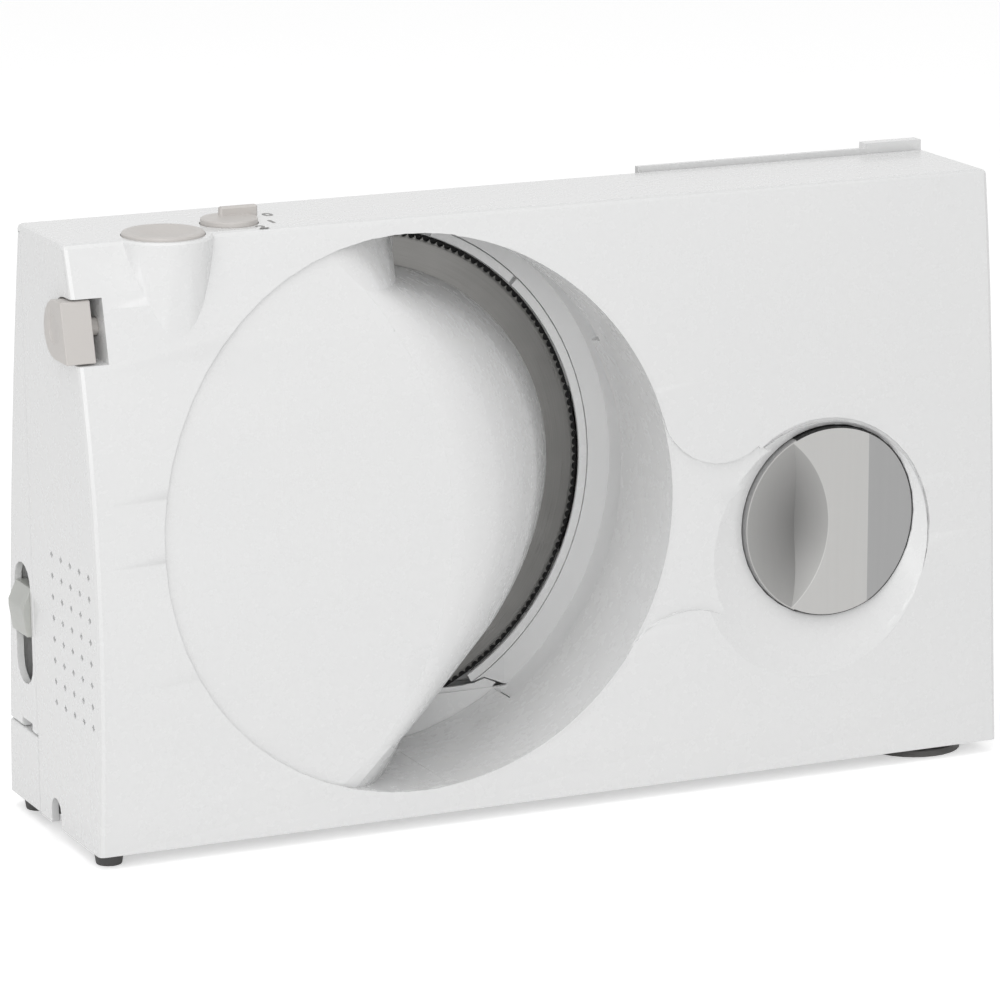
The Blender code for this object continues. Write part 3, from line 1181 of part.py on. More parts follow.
def build_fan(frame):
    fan = drum("fan", motor_place, FAN_HUB_R, "Y", FAN_Y, FAN_Y + FAN_W, 14)
    for i in range(FAN_BLADES):
        blade = box("fan_blade", (FAN_HUB_R - LAP, FAN_Y + LAP, -FAN_BLADE_T / 2), (FAN_R, FAN_Y + FAN_W - LAP, FAN_BLADE_T / 2))
        turn = Matrix.Rotation(2 * pi * i / FAN_BLADES, 4, "Y")
        blade.data.transform(Matrix.Translation((motor_place[0], 0, motor_place[1])) @ turn)
        join(fan, blade)
    cut(fan, drum("fan_bore", motor_place, MOTOR_SHAFT_R + PRESS_GAP, "Y", FAN_Y - OVERRUN, FAN_Y + FAN_W + OVERRUN, 12))
    return finish(fan, "cooling_fan", black_plastic, frame)


def bush(name, start, length):
    outer = SHAFT_R + GAP / 2 + BUSH_WALL
    inner = SHAFT_R + GAP / 2
    profile = [(outer, start + length), (outer, start), (inner, start), (inner, start + length)]
    return finish(turned("bush", profile, (BLADE_X, BLADE_Z), 16), name, bronze)


# Buttons and switch
def build_on_button(frame):
    top = BODY_H + ON_PROUD
    low = ON_STEP_Z
    button = drum("on", (ON_X, ON_Y), ON_R, "Z", low, top, 28)
    bevel(button, ON_PROUD / 2, 1)
    cut(button, drum("on_dish", (ON_X, ON_Y), ON_R * ON_DISH_FLOOR_SHARE, "Z", top - ON_DISH, top + LAP, 20,
                     ON_R * ON_DISH_SHARE))
    cut(button, drum("on_room", (ON_X, ON_Y), ON_R - WALL, "Z", low - OVERRUN, top - ON_DISH - WALL, 20))
    join(button, drum("on_stem", (ON_X, ON_Y), ON_STEM_R, "Z", ON_BOSS_LOW_Z + ON_TRAVEL, top - ON_DISH - LAP, 12))
    return finish(button, "on_button", grey_button, frame)


def build_on_spring():
    low = ON_STEP_Z - ON_TRAVEL + SPRING_WIRE_R + GAP
    top = BODY_H + ON_PROUD - ON_DISH - WALL - SPRING_WIRE_R - GAP
    curve = bpy.data.curves.new("on_button_spring", "CURVE")
    curve.dimensions = "3D"
    curve.bevel_depth = SPRING_WIRE_R
    curve.bevel_resolution = 0
    curve.use_fill_caps = True
    spline = curve.splines.new("POLY")
    count = SPRING_TURNS * 8 + 1
    spline.points.add(count - 1)
    for i, point in enumerate(spline.points):
        share = i / (count - 1)
        angle = 2 * pi * SPRING_TURNS * share
        point.co = (ON_X + SPRING_R * cos(angle), ON_Y + SPRING_R * sin(angle), low + (top - low) * share, 1)
    obj = bpy.data.objects.new("spring", curve)
    parts.objects.link(obj)
    return finish(freeze(obj), "on_button_spring", bright_steel)


def build_selector(frame):
    top = BODY_H + SELECT_PROUD
    selector = drum("selector", (SELECT_X, SELECT_Y), SELECT_R, "Z", BODY_H - SELECT_SINK, top, 24)
    bevel(selector, GAP, 1)
    fin = box("fin", (SELECT_X + FIN_LEFT, SELECT_Y + FIN_BACK - FIN_T / 2, BODY_H + GAP),
              (SELECT_X + FIN_RIGHT, SELECT_Y + FIN_BACK + FIN_T / 2, BODY_H + FIN_H))
    bevel(fin, GAP * 2, 1)
    join(selector, fin)
    join(selector, drum("stem", (SELECT_X, SELECT_Y), SELECT_STEM_R, "Z", BODY_H - SELECT_STEM_LENGTH,
                        BODY_H - SELECT_SINK + LAP, 12))
    return finish(selector, "selector", grey_button, frame)


def build_safety_button(frame):
    """Button in the corner, whose front follows the face."""
    outer = left_x(SAFETY_Z) - SAFETY_PROUD
    button = slab("safety", [safety_outline(-GAP)], "X", outer, SAFETY_INNER_X)
    keep(button, body_solid("face", -OVERRUN - SAFETY_PROUD, SAFETY_SET_BACK, -OVERRUN, BODY_H, SHELL_BACK))
    bevel(button, GAP * 2, 1)
    join(button, drum("stem", (SAFETY_Y, SAFETY_Z), SAFETY_STEM_R, "X", SAFETY_INNER_X - LAP,
                      SAFETY_INNER_X + SAFETY_STEM_LENGTH, 12))
    return finish(button, "safety_button", grey_button, frame)


def build_switch():
    low = switch_low_z()
    block = box("switch", (ON_X - SWITCH_W / 2 + LAP, ON_Y - SWITCH_D / 2, low),
                (ON_X + SWITCH_W / 2 - LAP, ON_Y + SWITCH_D / 2, ON_BOSS_LOW_Z - GAP))
    bevel(block, GAP * 3, 1)
    return finish(block, "switch_block", black_plastic)


# Fold lock
def build_lock_lever(frame):
    """Thumb wedge outside, on a slider plate inside the cheek."""
    outer = left_x(LEVER_LOW_Z)
    plate_x = outer + SIDE_INSET + WALL
    middle = (LEVER_LOW_Z + LEVER_TOP_Z) / 2
    wedge = [(plate_x + LAP, LEVER_LOW_Z), (plate_x + LAP, LEVER_TOP_Z), (outer, LEVER_TOP_Z),
             (outer - LEVER_PROUD, LEVER_TOP_Z - LEVER_SLOPE), (outer - LEVER_PROUD, middle),
             (outer - LEVER_PROUD / 2, LEVER_LOW_Z)]
    lever = slab("lever", [wedge], "Y", SLOT_Y - SLOT_W / 2 + GAP, SLOT_Y + SLOT_W / 2 - GAP)
    join(lever, box("slider", (plate_x, SLOT_Y - SLOT_W / 2 - SLIDER_LAP + LAP, SLIDER_LOW_Z),
                    (plate_x + SLIDER_T, SLOT_Y + SLOT_W / 2 + SLIDER_LAP, SLIDER_TOP_Z)))
    return finish(lever, "fold_lock_lever", grey_button, frame)


# Table, plate and carriage
def table_outer(z):
    return max(cheek_y(z), TABLE_RIM_Y + TABLE_MIN_T)


def table_right():
    return HALF_W - GAP


def build_table(frame):
    left, right = -HALF_W + CHEEK_W + GAP, table_right()
    outline = [(TABLE_FACE_Y, HINGE_Z), (TABLE_FACE_Y, TABLE_STEP_Z), (TABLE_RIM_Y, TABLE_STEP_Z), (TABLE_RIM_Y, TABLE_TOP_Z)]
    for i in range(FACE_STATIONS + 1):
        z = TABLE_TOP_Z + (TABLE_FOOT_Z - TABLE_TOP_Z) * i / FACE_STATIONS
        outline.append((table_outer(z), z))
    outline.append((HINGE_Y, TABLE_FOOT_Z))
    table = slab("table", [outline], "X", left, right)
    join(table, drum("barrel", (HINGE_Y, HINGE_Z), HINGE_BARREL_R, "X", left, right, 16))
    join(table, box("lip", (LIP_LEFT_X, TABLE_RIM_Y, TABLE_TOP_Z - LAP), (right, TABLE_RIM_Y + TABLE_MIN_T, LIP_TOP_Z)))
    join(table, box("tab", (TAB_LEFT_X, TABLE_RIM_Y, LIP_TOP_Z - LAP), (right, TABLE_RIM_Y + TAB_REACH, TAB_TOP_Z)))
    groove_low = TABLE_FACE_Y - TONGUE_T - 2 * GAP
    cut(table, box("groove", (left - OVERRUN, groove_low, TABLE_STEP_Z - OVERRUN),
                   (right + OVERRUN, TABLE_FACE_Y, TABLE_STEP_Z + TONGUE_REACH)))
    cut(table, box("plate_seat", (left + WALL, TABLE_FACE_Y - OVERRUN, TABLE_PLATE_LOW_Z),
                   (right - WALL, TABLE_FACE_Y + TABLE_PLATE_T + GAP, TABLE_PLATE_TOP_Z)))
    cut_table_pockets(table, left + WALL, right - WALL)
    cut(table, box("lug_clear", (HALF_W - LUG_W - GAP, TABLE_FACE_Y - OVERRUN, -OVERRUN),
                   (right + OVERRUN, CHEEK_FOOT_Y + OVERRUN, SEAM_Z)))
    for low, high in hinge_pin_spans():
        cut(table, drum("pin_bore", (HINGE_Y, HINGE_Z), HINGE_PIN_R + GAP, "X", low - OVERRUN, high + OVERRUN, 16))
    return finish(table, "table", white_gloss, frame)


def cut_table_pockets(table, left, right):
    """Hollow behind the running plate, left as ribs between pockets."""
    floor = TABLE_FACE_Y + TABLE_PLATE_T
    profile = [(floor, TABLE_POCKET_LOW_Z)]
    steps = 6
    for i in range(steps + 1):
        z = TABLE_POCKET_LOW_Z + (TABLE_POCKET_TOP_Z - TABLE_POCKET_LOW_Z) * i / steps
        profile.append((cheek_y(z) - TABLE_SKIN, z))
    profile.append((floor, TABLE_POCKET_TOP_Z))
    bay = (right - left) / (TABLE_RIBS + 1)
    for i in range(TABLE_RIBS + 1):
        low = left + bay * i + WALL / 2
        cut(table, slab("bay", [profile], "X", low, low + bay - WALL))


def build_table_plate(frame):
    left, right = -HALF_W + CHEEK_W + GAP + WALL + GAP, table_right() - WALL - GAP
    plate = box("plate", (left, TABLE_FACE_Y, TABLE_PLATE_LOW_Z + GAP),
                (right, TABLE_FACE_Y + TABLE_PLATE_T, TABLE_PLATE_TOP_Z - GAP))
    return finish(plate, "table_plate", bright_steel, frame)


def build_carriage(frame):
    """Low sled with grip ribs, held by a tongue under the table's step."""
    left, right = CARRIAGE_X - CARRIAGE_W / 2, CARRIAGE_X + CARRIAGE_W / 2
    back = TABLE_FACE_Y - GAP
    top = TABLE_STEP_Z - GAP
    sled = box("sled", (left, back - CARRIAGE_T, CARRIAGE_LOW_Z), (right, back, top))
    bevel(sled, GAP * 2, 1)
    join(sled, box("tongue", (left + WALL, back - TONGUE_T, top - LAP), (right - WALL, back, TABLE_STEP_Z + TONGUE_REACH - GAP)))
    pitch = (top - CARRIAGE_LOW_Z - 2 * GRIP_MARGIN) / (GRIP_RIBS - 1)
    for i in range(GRIP_RIBS):
        z = CARRIAGE_LOW_Z + GRIP_MARGIN + pitch * i
        join(sled, box("rib", (left + GRIP_MARGIN, back - CARRIAGE_T - GRIP_RIB_H, z - GRIP_RIB_T / 2),
                       (right - GRIP_MARGIN, back - CARRIAGE_T + LAP, z + GRIP_RIB_T / 2)))
    return finish(sled, "carriage", white_gloss, frame)


# Feet and screws
def build_feet():
    for name, (x, y) in FOOT_PLACES.items():
        foot = drum("foot", (x, y), FOOT_R * FOOT_TAPER_SHARE, "Z", -FOOT_H, -PRESS_GAP, 16, FOOT_R)
        if y < SEAM_Y:
            join(foot, drum("peg", (x, y), FOOT_PEG_R, "Z", -LAP, TRAY_T + LAP, 12))
        finish(foot, f"rubber_foot_{name}", rubber)


def build_suction_foot():
    low = -FOOT_H
    rim_r, cone_r, cup_r = (SUCTION_R * share for share in (SUCTION_RIM_SHARE, SUCTION_CONE_SHARE, SUCTION_CUP_SHARE))
    foot = drum("suction", (SUCTION_X, SUCTION_Y), SUCTION_R, "Z", low, low + LAP * 3, 28, rim_r)
    join(foot, drum("cone", (SUCTION_X, SUCTION_Y), cone_r, "Z", low + LAP * 2, -PRESS_GAP, 24, SUCTION_NECK_R))
    cut(foot, drum("cup", (SUCTION_X, SUCTION_Y), cup_r, "Z", low - LAP, low + LAP * 2, 20, SUCTION_NECK_R))
    join(foot, drum("peg", (SUCTION_X, SUCTION_Y), FOOT_PEG_R, "Z", -LAP, TRAY_T + LAP, 12))
    return finish(foot, "suction_foot", rubber)


def build_screws():
    for number, place in enumerate(SCREW_PLACES, 1):
        screw = drum("head", place, SCREW_HEAD_R, "Y", SHELL_BACK - SCREW_HEAD_H + PRESS_GAP, SHELL_BACK - PRESS_GAP, 12)
        join(screw, drum("shank", place, SCREW_R, "Y", SHELL_BACK - SCREW_LENGTH, SHELL_BACK - LAP, 8))
        finish(screw, f"housing_screw_{number}", zinc_steel)


def gear_place(start, degrees_round, distance):
    angle = radians(degrees_round)
    return start[0] + distance * cos(angle), start[1] + distance * sin(angle)


middle_place = gear_place((BLADE_X, BLADE_Z), MIDDLE_DEG, GEAR_MODULE * (BLADE_GEAR_TEETH + MIDDLE_SMALL_TEETH) / 2)
motor_place = gear_place(middle_place, MOTOR_DEG, FAST_MODULE * (MIDDLE_LARGE_TEETH + PINION_TEETH) / 2)


def stand_on_origin():
    """Move the whole slicer so that the middle of its footprint is the origin."""
    bpy.context.view_layer.update()
    corners = [obj.matrix_world @ Vector(corner) for obj in parts.objects if obj.type == "MESH" for corner in obj.bound_box]
    low = Vector(min(corner[i] for corner in corners) for i in range(3))
    high = Vector(max(corner[i] for corner in corners) for i in range(3))
    slicer.location = (-(low.x + high.x) / 2, -(low.y + high.y) / 2, -low.z)
    bpy.context.view_layer.update()
    print("size", [round(value / MM, 2) for value in high - low], "shift", [round(v / MM, 3) for v in slicer.location])
    for name in frame_places:
        print(name, [round(value / MM, 3) for value in bpy.data.objects[name].matrix_world.translation])


def build_slicer():
    blade_axis = joint_frame("blade_axis", (BLADE_X, BLADE_Y, BLADE_Z))
    lock_axis = joint_frame("blade_lock_axis", (BLADE_X, LOCK_FACE_Y, BLADE_Z), blade_axis)
    middle_axis = joint_frame("intermediate_axis", (middle_place[0], GEAR_Y, middle_place[1]))
    motor_axis = joint_frame("motor_axis", (motor_place[0], GEAR_Y, motor_place[1]))
    knob_axis = joint_frame("knob_axis", (KNOB_X, KNOB_FACE_Y, KNOB_Z))
    plate_slide = joint_frame("plate_slide", (KNOB_X, PLATE_Y, KNOB_Z))
    on_slide = joint_frame("on_button_slide", (ON_X, ON_Y, BODY_H))
    selector_axis = joint_frame("selector_axis", (SELECT_X, SELECT_Y, BODY_H))
    safety_slide = joint_frame("safety_button_slide", (left_x(SAFETY_Z), SAFETY_Y, SAFETY_Z))
    lever_slide = joint_frame("fold_lock_slide", (left_x(LEVER_LOW_Z), SLOT_Y, (LEVER_LOW_Z + LEVER_TOP_Z) / 2))
    table_hinge = joint_frame("table_hinge", (0, HINGE_Y, HINGE_Z))
    carriage_slide = joint_frame("carriage_slide", (CARRIAGE_X, TABLE_FACE_Y, TABLE_STEP_Z), table_hinge)

    build_front_housing()
    build_rear_cover()
    build_base_frame()
    build_hinge_pins()
    build_stop_plate(plate_slide)
    build_guide_pins(plate_slide)
    build_knob(knob_axis)
    build_spindle(knob_axis)
    build_blade(blade_axis)
    build_blade_hub(blade_axis)
    build_blade_shaft(blade_axis)
    build_blade_gear(blade_axis)
    build_blade_lock(lock_axis)
    build_middle_gear(middle_axis)
    build_middle_pin()
    build_motor_can()
    build_motor_shaft(motor_axis)
    build_pinion(motor_axis)
    build_fan(motor_axis)
    bush("front_bush", SHAFT_START_Y + GAP, FRONT_BUSH_LENGTH - GAP)
    bush("rear_bush", SHELL_BACK - POCKET_DEPTH - REAR_BUSH_LENGTH, REAR_BUSH_LENGTH)
    build_on_button(on_slide)
    build_on_spring()
    build_selector(selector_axis)
    build_safety_button(safety_slide)
    build_switch()
    build_lock_lever(lever_slide)
    build_table(table_hinge)
    build_table_plate(table_hinge)
    build_carriage(carriage_slide)
    build_feet()
    build_suction_foot()
    build_screws()
    stand_on_origin()


build_slicer()
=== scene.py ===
import json
import math

import bpy
from mathutils import Matrix, Vector


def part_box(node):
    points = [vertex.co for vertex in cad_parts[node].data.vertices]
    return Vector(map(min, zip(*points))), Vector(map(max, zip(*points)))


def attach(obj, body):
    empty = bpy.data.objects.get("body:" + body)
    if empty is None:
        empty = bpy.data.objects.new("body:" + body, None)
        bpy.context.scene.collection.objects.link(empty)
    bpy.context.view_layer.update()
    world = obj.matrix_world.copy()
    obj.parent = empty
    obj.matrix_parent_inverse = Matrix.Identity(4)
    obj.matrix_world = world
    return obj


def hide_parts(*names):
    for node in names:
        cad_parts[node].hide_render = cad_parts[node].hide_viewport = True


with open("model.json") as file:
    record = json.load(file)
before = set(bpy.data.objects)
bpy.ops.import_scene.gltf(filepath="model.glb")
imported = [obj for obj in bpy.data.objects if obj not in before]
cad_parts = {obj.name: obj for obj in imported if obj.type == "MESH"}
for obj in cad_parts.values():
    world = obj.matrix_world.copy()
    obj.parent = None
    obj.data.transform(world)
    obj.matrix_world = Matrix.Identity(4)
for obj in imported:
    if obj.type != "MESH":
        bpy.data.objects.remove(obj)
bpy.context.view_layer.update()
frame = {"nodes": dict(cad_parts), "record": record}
nodes = frame["nodes"]
bodyOf = {name: body for body, names in frame["record"]["behaviour"]["bodies"].items() for name in names}
mm = 0.001

# the slicer was measured from the middle of its foot, so every place below is given from there
bladeMiddle, wellMiddle, shaftStart = (-51.5, 102.4), (-49.5, 100.8), 12.0
caseForm = {"height": 198.0, "width": 334.0, "lean": (15.5, -1.5), "bulge": (7.0, -10.3)}
shaftLow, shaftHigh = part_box("blade_shaft")
footLow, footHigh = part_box("base_frame")
origin = Vector(((shaftLow.x + shaftHigh.x) / 2 - bladeMiddle[0] * mm, shaftLow.y - shaftStart * mm, footLow.z))


def at(x, y, z):
    return origin + Vector((x, y, z)) * mm


def onAxis(middle, y=0):
    return at(middle[0], y, middle[1])


print("slicer: frame loaded,", len(nodes), "nodes")


# materials
def newFinish(name, settings):
    finish = bpy.data.materials.new(name)
    finish.use_nodes = True
    tree = finish.node_tree
    shader = tree.nodes["Principled BSDF"]
    for socket, value in settings.items():
        shader.inputs[socket].default_value = value
    return finish, tree, shader


def addNode(tree, kind, settings):
    node = tree.nodes.new(kind)
    for key, value in settings.items():
        if key in node.inputs:
            node.inputs[key].default_value = value
        else:
            setattr(node, key, value)
    return node


def objectPlace(tree, centre=(0, 0, 0), scale=(1, 1, 1)):
    coords = addNode(tree, "ShaderNodeTexCoord", {})
    moved = addNode(tree, "ShaderNodeVectorMath", {"operation": "SUBTRACT"})
    moved.inputs[1].default_value = centre
    scaled = addNode(tree, "ShaderNodeVectorMath", {"operation": "MULTIPLY"})
    scaled.inputs[1].default_value = scale
    tree.links.new(coords.outputs["Object"], moved.inputs[0])
    tree.links.new(moved.outputs[0], scaled.inputs[0])
    return scaled.outputs[0]


def grain(tree, place, scale, detail=3.0, rough=0.55):
    noise = addNode(tree, "ShaderNodeTexNoise", {"Scale": scale, "Detail": detail, "Roughness": rough})
    tree.links.new(place, noise.inputs["Vector"])
    return noise.outputs["Fac"]


def spread(tree, value, low, high, fromLow=0.3, fromHigh=0.7):
    mapped = addNode(tree, "ShaderNodeMapRange", {"From Min": fromLow, "From Max": fromHigh, "To Min": low,
                                                  "To Max": high})
    tree.links.new(value, mapped.inputs["Value"])
    return mapped.outputs["Result"]


def shades(tree, value, dark, light, start=0.3, stop=0.7):
    ramp = addNode(tree, "ShaderNodeValToRGB", {})
    ramp.color_ramp.elements[0].position = start
    ramp.color_ramp.elements[1].position = stop
    ramp.color_ramp.elements[0].color = (*dark, 1)
    ramp.color_ramp.elements[1].color = (*light, 1)
    tree.links.new(value, ramp.inputs["Fac"])
    return ramp.outputs["Color"]


def relief(tree, shader, height, strength, depth):
    bump = addNode(tree, "ShaderNodeBump", {"Strength": strength, "Distance": depth})
    tree.links.new(height, bump.inputs["Height"])
    tree.links.new(bump.outputs["Normal"], shader.inputs["Normal"])


def mathWith(tree, value, operation, amount):
    result = addNode(tree, "ShaderNodeMath", {"operation": operation})
    result.inputs[1].default_value = amount
    tree.links.new(value, result.inputs[0])
    return result.outputs[0]


def mathOf(tree, first, second, operation="MULTIPLY"):
    joined = addNode(tree, "ShaderNodeMath", {"operation": operation})
    tree.links.new(first, joined.inputs[0])
    tree.links.new(second, joined.inputs[1])
    return joined.outputs[0]


def seenDirectly(tree):
    # 1 for what the camera or a mirror sees, 0 for the light that the surface gives the slicer
    ray = addNode(tree, "ShaderNodeLightPath", {})
    return mathOf(tree, ray.outputs["Is Camera Ray"], ray.outputs["Is Glossy Ray"], "MAXIMUM")


def mouldedPlastic(name, dark, light, roughLow, roughHigh, skinScale, skinDepth, settings, skinStrength=0.15):
    tintScale, wearScale = 22.0, 160.0
    finish, tree, shader = newFinish(name, settings)
    place = objectPlace(tree)
    tint = grain(tree, place, tintScale, 2.0)
    tree.links.new(shades(tree, tint, dark, light), shader.inputs["Base Color"])
    wear = grain(tree, place, wearScale, 5.0, 0.65)
    tree.links.new(spread(tree, wear, roughLow, roughHigh), shader.inputs["Roughness"])
    relief(tree, shader, grain(tree, place, skinScale, 2.0), skinStrength, skinDepth)
    return finish


def roundGround(name, centre, dark, light, roughLow, roughHigh, rings, settings, streaks=2.2, strength=0.2):
    finish, tree, shader = newFinish(name, settings)
    place = objectPlace(tree, centre)
    parts = addNode(tree, "ShaderNodeSeparateXYZ", {})
    tree.links.new(place, parts.inputs[0])
    flat = addNode(tree, "ShaderNodeCombineXYZ", {})
    tree.links.new(parts.outputs["X"], flat.inputs["X"])
    tree.links.new(parts.outputs["Z"], flat.inputs["Y"])
    reach = addNode(tree, "ShaderNodeVectorMath", {"operation": "LENGTH"})
    tree.links.new(flat.outputs[0], reach.inputs[0])
    turn = mathOf(tree, parts.outputs["Z"], parts.outputs["X"], "ARCTAN2")
    along = addNode(tree, "ShaderNodeCombineXYZ", {})
    tree.links.new(mathWith(tree, reach.outputs["Value"], "MULTIPLY", rings), along.inputs["X"])
    tree.links.new(mathWith(tree, turn, "MULTIPLY", streaks), along.inputs["Y"])
    lines = grain(tree, along.outputs[0], 1.0, 4.0, 0.7)
    cloudScale, cloudShare = 35.0, 0.45
    clouds = grain(tree, place, cloudScale, 3.0)
    both = addNode(tree, "ShaderNodeMix", {"data_type": "FLOAT"})
    both.inputs[0].default_value = cloudShare
    tree.links.new(lines, both.inputs[2])
    tree.links.new(clouds, both.inputs[3])
    tree.links.new(shades(tree, both.outputs[0], dark, light), shader.inputs["Base Color"])
    tree.links.new(spread(tree, lines, roughLow, roughHigh), shader.inputs["Roughness"])
    relief(tree, shader, lines, strength, 0.00004)
    return finish


def straightBrushed(name, scale, dark, light, roughLow, roughHigh, settings, strength=0.12):
    finish, tree, shader = newFinish(name, settings)
    place = objectPlace(tree, (0, 0, 0), scale)
    lines = grain(tree, place, 1.0, 4.0, 0.7)
    tree.links.new(shades(tree, lines, dark, light), shader.inputs["Base Color"])
    tree.links.new(spread(tree, lines, roughLow, roughHigh), shader.inputs["Roughness"])
    relief(tree, shader, lines, strength, 0.00003)
    return finish


def knobLacquerWithPaintedShade(name, knob):
    # the lacquer carries painted shade: it darkens with depth in the scoop, is greyer on the sloped strip and on the
    # side wall, and has a painted black shadow ring at the right of its rim
    finish, tree, shader = newFinish(name, {"Metallic": 0.3})
    place = objectPlace(tree, at(knob["x"], knob["face"], knob["z"]))
    parts = addNode(tree, "ShaderNodeSeparateXYZ", {})
    tree.links.new(place, parts.inputs[0])
    # painted shade: the colour darkens the deeper the surface lies in the scoop
    depth = spread(tree, parts.outputs["Y"], 0.0, 1.0, 0.0, knob["scoopShadeDeep"] * mm)
    scoopShadeRamp = addNode(tree, "ShaderNodeValToRGB", {})
    for (share, shade), mark in zip(knob["paintedScoopShades"], [0, 1, None, None]):
        stop = scoopShadeRamp.color_ramp.elements[mark] if mark is not None else scoopShadeRamp.color_ramp.elements.new(share)
        stop.position = share
        stop.color = (shade, shade * 0.992, shade * 0.972, 1)
    tree.links.new(depth, scoopShadeRamp.inputs["Fac"])
    flat = addNode(tree, "ShaderNodeVectorMath", {"operation": "MULTIPLY"})
    flat.inputs[1].default_value = (1, 0, 1)
    tree.links.new(place, flat.inputs[0])
    reach = addNode(tree, "ShaderNodeVectorMath", {"operation": "LENGTH"})
    tree.links.new(flat.outputs[0], reach.inputs[0])
    across, fromFace, fromAxis = parts.outputs["X"], parts.outputs["Y"], reach.outputs["Value"]
    # painted shade: the sloped strip is given a greyer colour
    onStrip = mathWith(tree, across, "GREATER_THAN", (knob["stripStart"] + knob["stripIn"]) * mm)
    # painted shade: the side wall is given the scoop flank's grey
    onSkirt = mathWith(tree, fromAxis, "GREATER_THAN", (knob["radius"] - knob["skirtIn"]) * mm)
    # painted shadow: a black ring on the right of the rim, where the gap is in shade
    ring = mathWith(tree, fromAxis, "GREATER_THAN", (knob["radius"] - knob["rimShadowWide"]) * mm)
    ring = mathOf(tree, ring, mathWith(tree, across, "GREATER_THAN", knob["rimShadowFrom"] * mm))
    ring = mathOf(tree, ring, mathWith(tree, fromFace, "LESS_THAN", knob["rimShadowDeep"] * mm))
    lines = grain(tree, objectPlace(tree, (0, 0, 0), knob["brush"]), 1.0, 4.0, 0.7)
    colour = scoopShadeRamp.outputs["Color"]
    for mask, shade in ((onStrip, knob["stripPaintedShade"]), (onSkirt, knob["skirtPaintedShade"]), (ring, knob["rimShadowTone"])):
        blend = addNode(tree, "ShaderNodeMix", {"data_type": "RGBA"})
        blend.inputs[7].default_value = (shade, shade, shade, 1)
        tree.links.new(mask, blend.inputs[0])
        tree.links.new(colour, blend.inputs[6])
        colour = blend.outputs[2]
    brushed = addNode(tree, "ShaderNodeMix", {"data_type": "RGBA", "blend_type": "MULTIPLY"})
    brushed.inputs[0].default_value = 1.0
    tree.links.new(colour, brushed.inputs[6])
    tree.links.new(shades(tree, lines, (0.97, 0.97, 0.97), (1.0, 1.0, 1.0)), brushed.inputs[7])
    tree.links.new(brushed.outputs[2], shader.inputs["Base Color"])
    tree.links.new(spread(tree, lines, 0.34, 0.4), shader.inputs["Roughness"])
    relief(tree, shader, lines, 0.03, 0.00003)
    return finish


knobShape = {"x": 103.0, "z": 83.5, "face": 3.1, "radius": 32.7, "depth": 10.7, "scoopSlopeLeft": 0.24,
             "scoopSlopeRight": 0.463, "rightRadius": 36.6, "rightCentre": -37.8, "coneDeep": 6.0, "coneIn": 0.02,
             "coneStart": 1.0, "rimEase": (0.45, 0.13), "stripStart": 13.8, "stripSlope": 9.0, "scoopShadeDeep": 5.0,
             "wedge": (50.0, 20.0, 80.0), "wall": 2.2, "cupFloor": 7.9,
             # the shades below paint the scoop's shade, the strip's and side wall's shade and the rim's shadow into the
             # lacquer
             "paintedScoopShades": ((0.0, 0.52), (1.0, 0.17), (0.012, 0.52), (0.03, 0.34)), "stripPaintedShade": 0.37, "stripIn": 0.02,
             "skirtPaintedShade": 0.34, "skirtIn": 0.03, "rimShadowTone": 0.012, "rimShadowWide": 0.4, "rimShadowFrom": -14.0, "rimShadowDeep": 3.6,
             "brush": (500.0, 500.0, 14.0)}
bladeCentre = onAxis(bladeMiddle, 58.0)
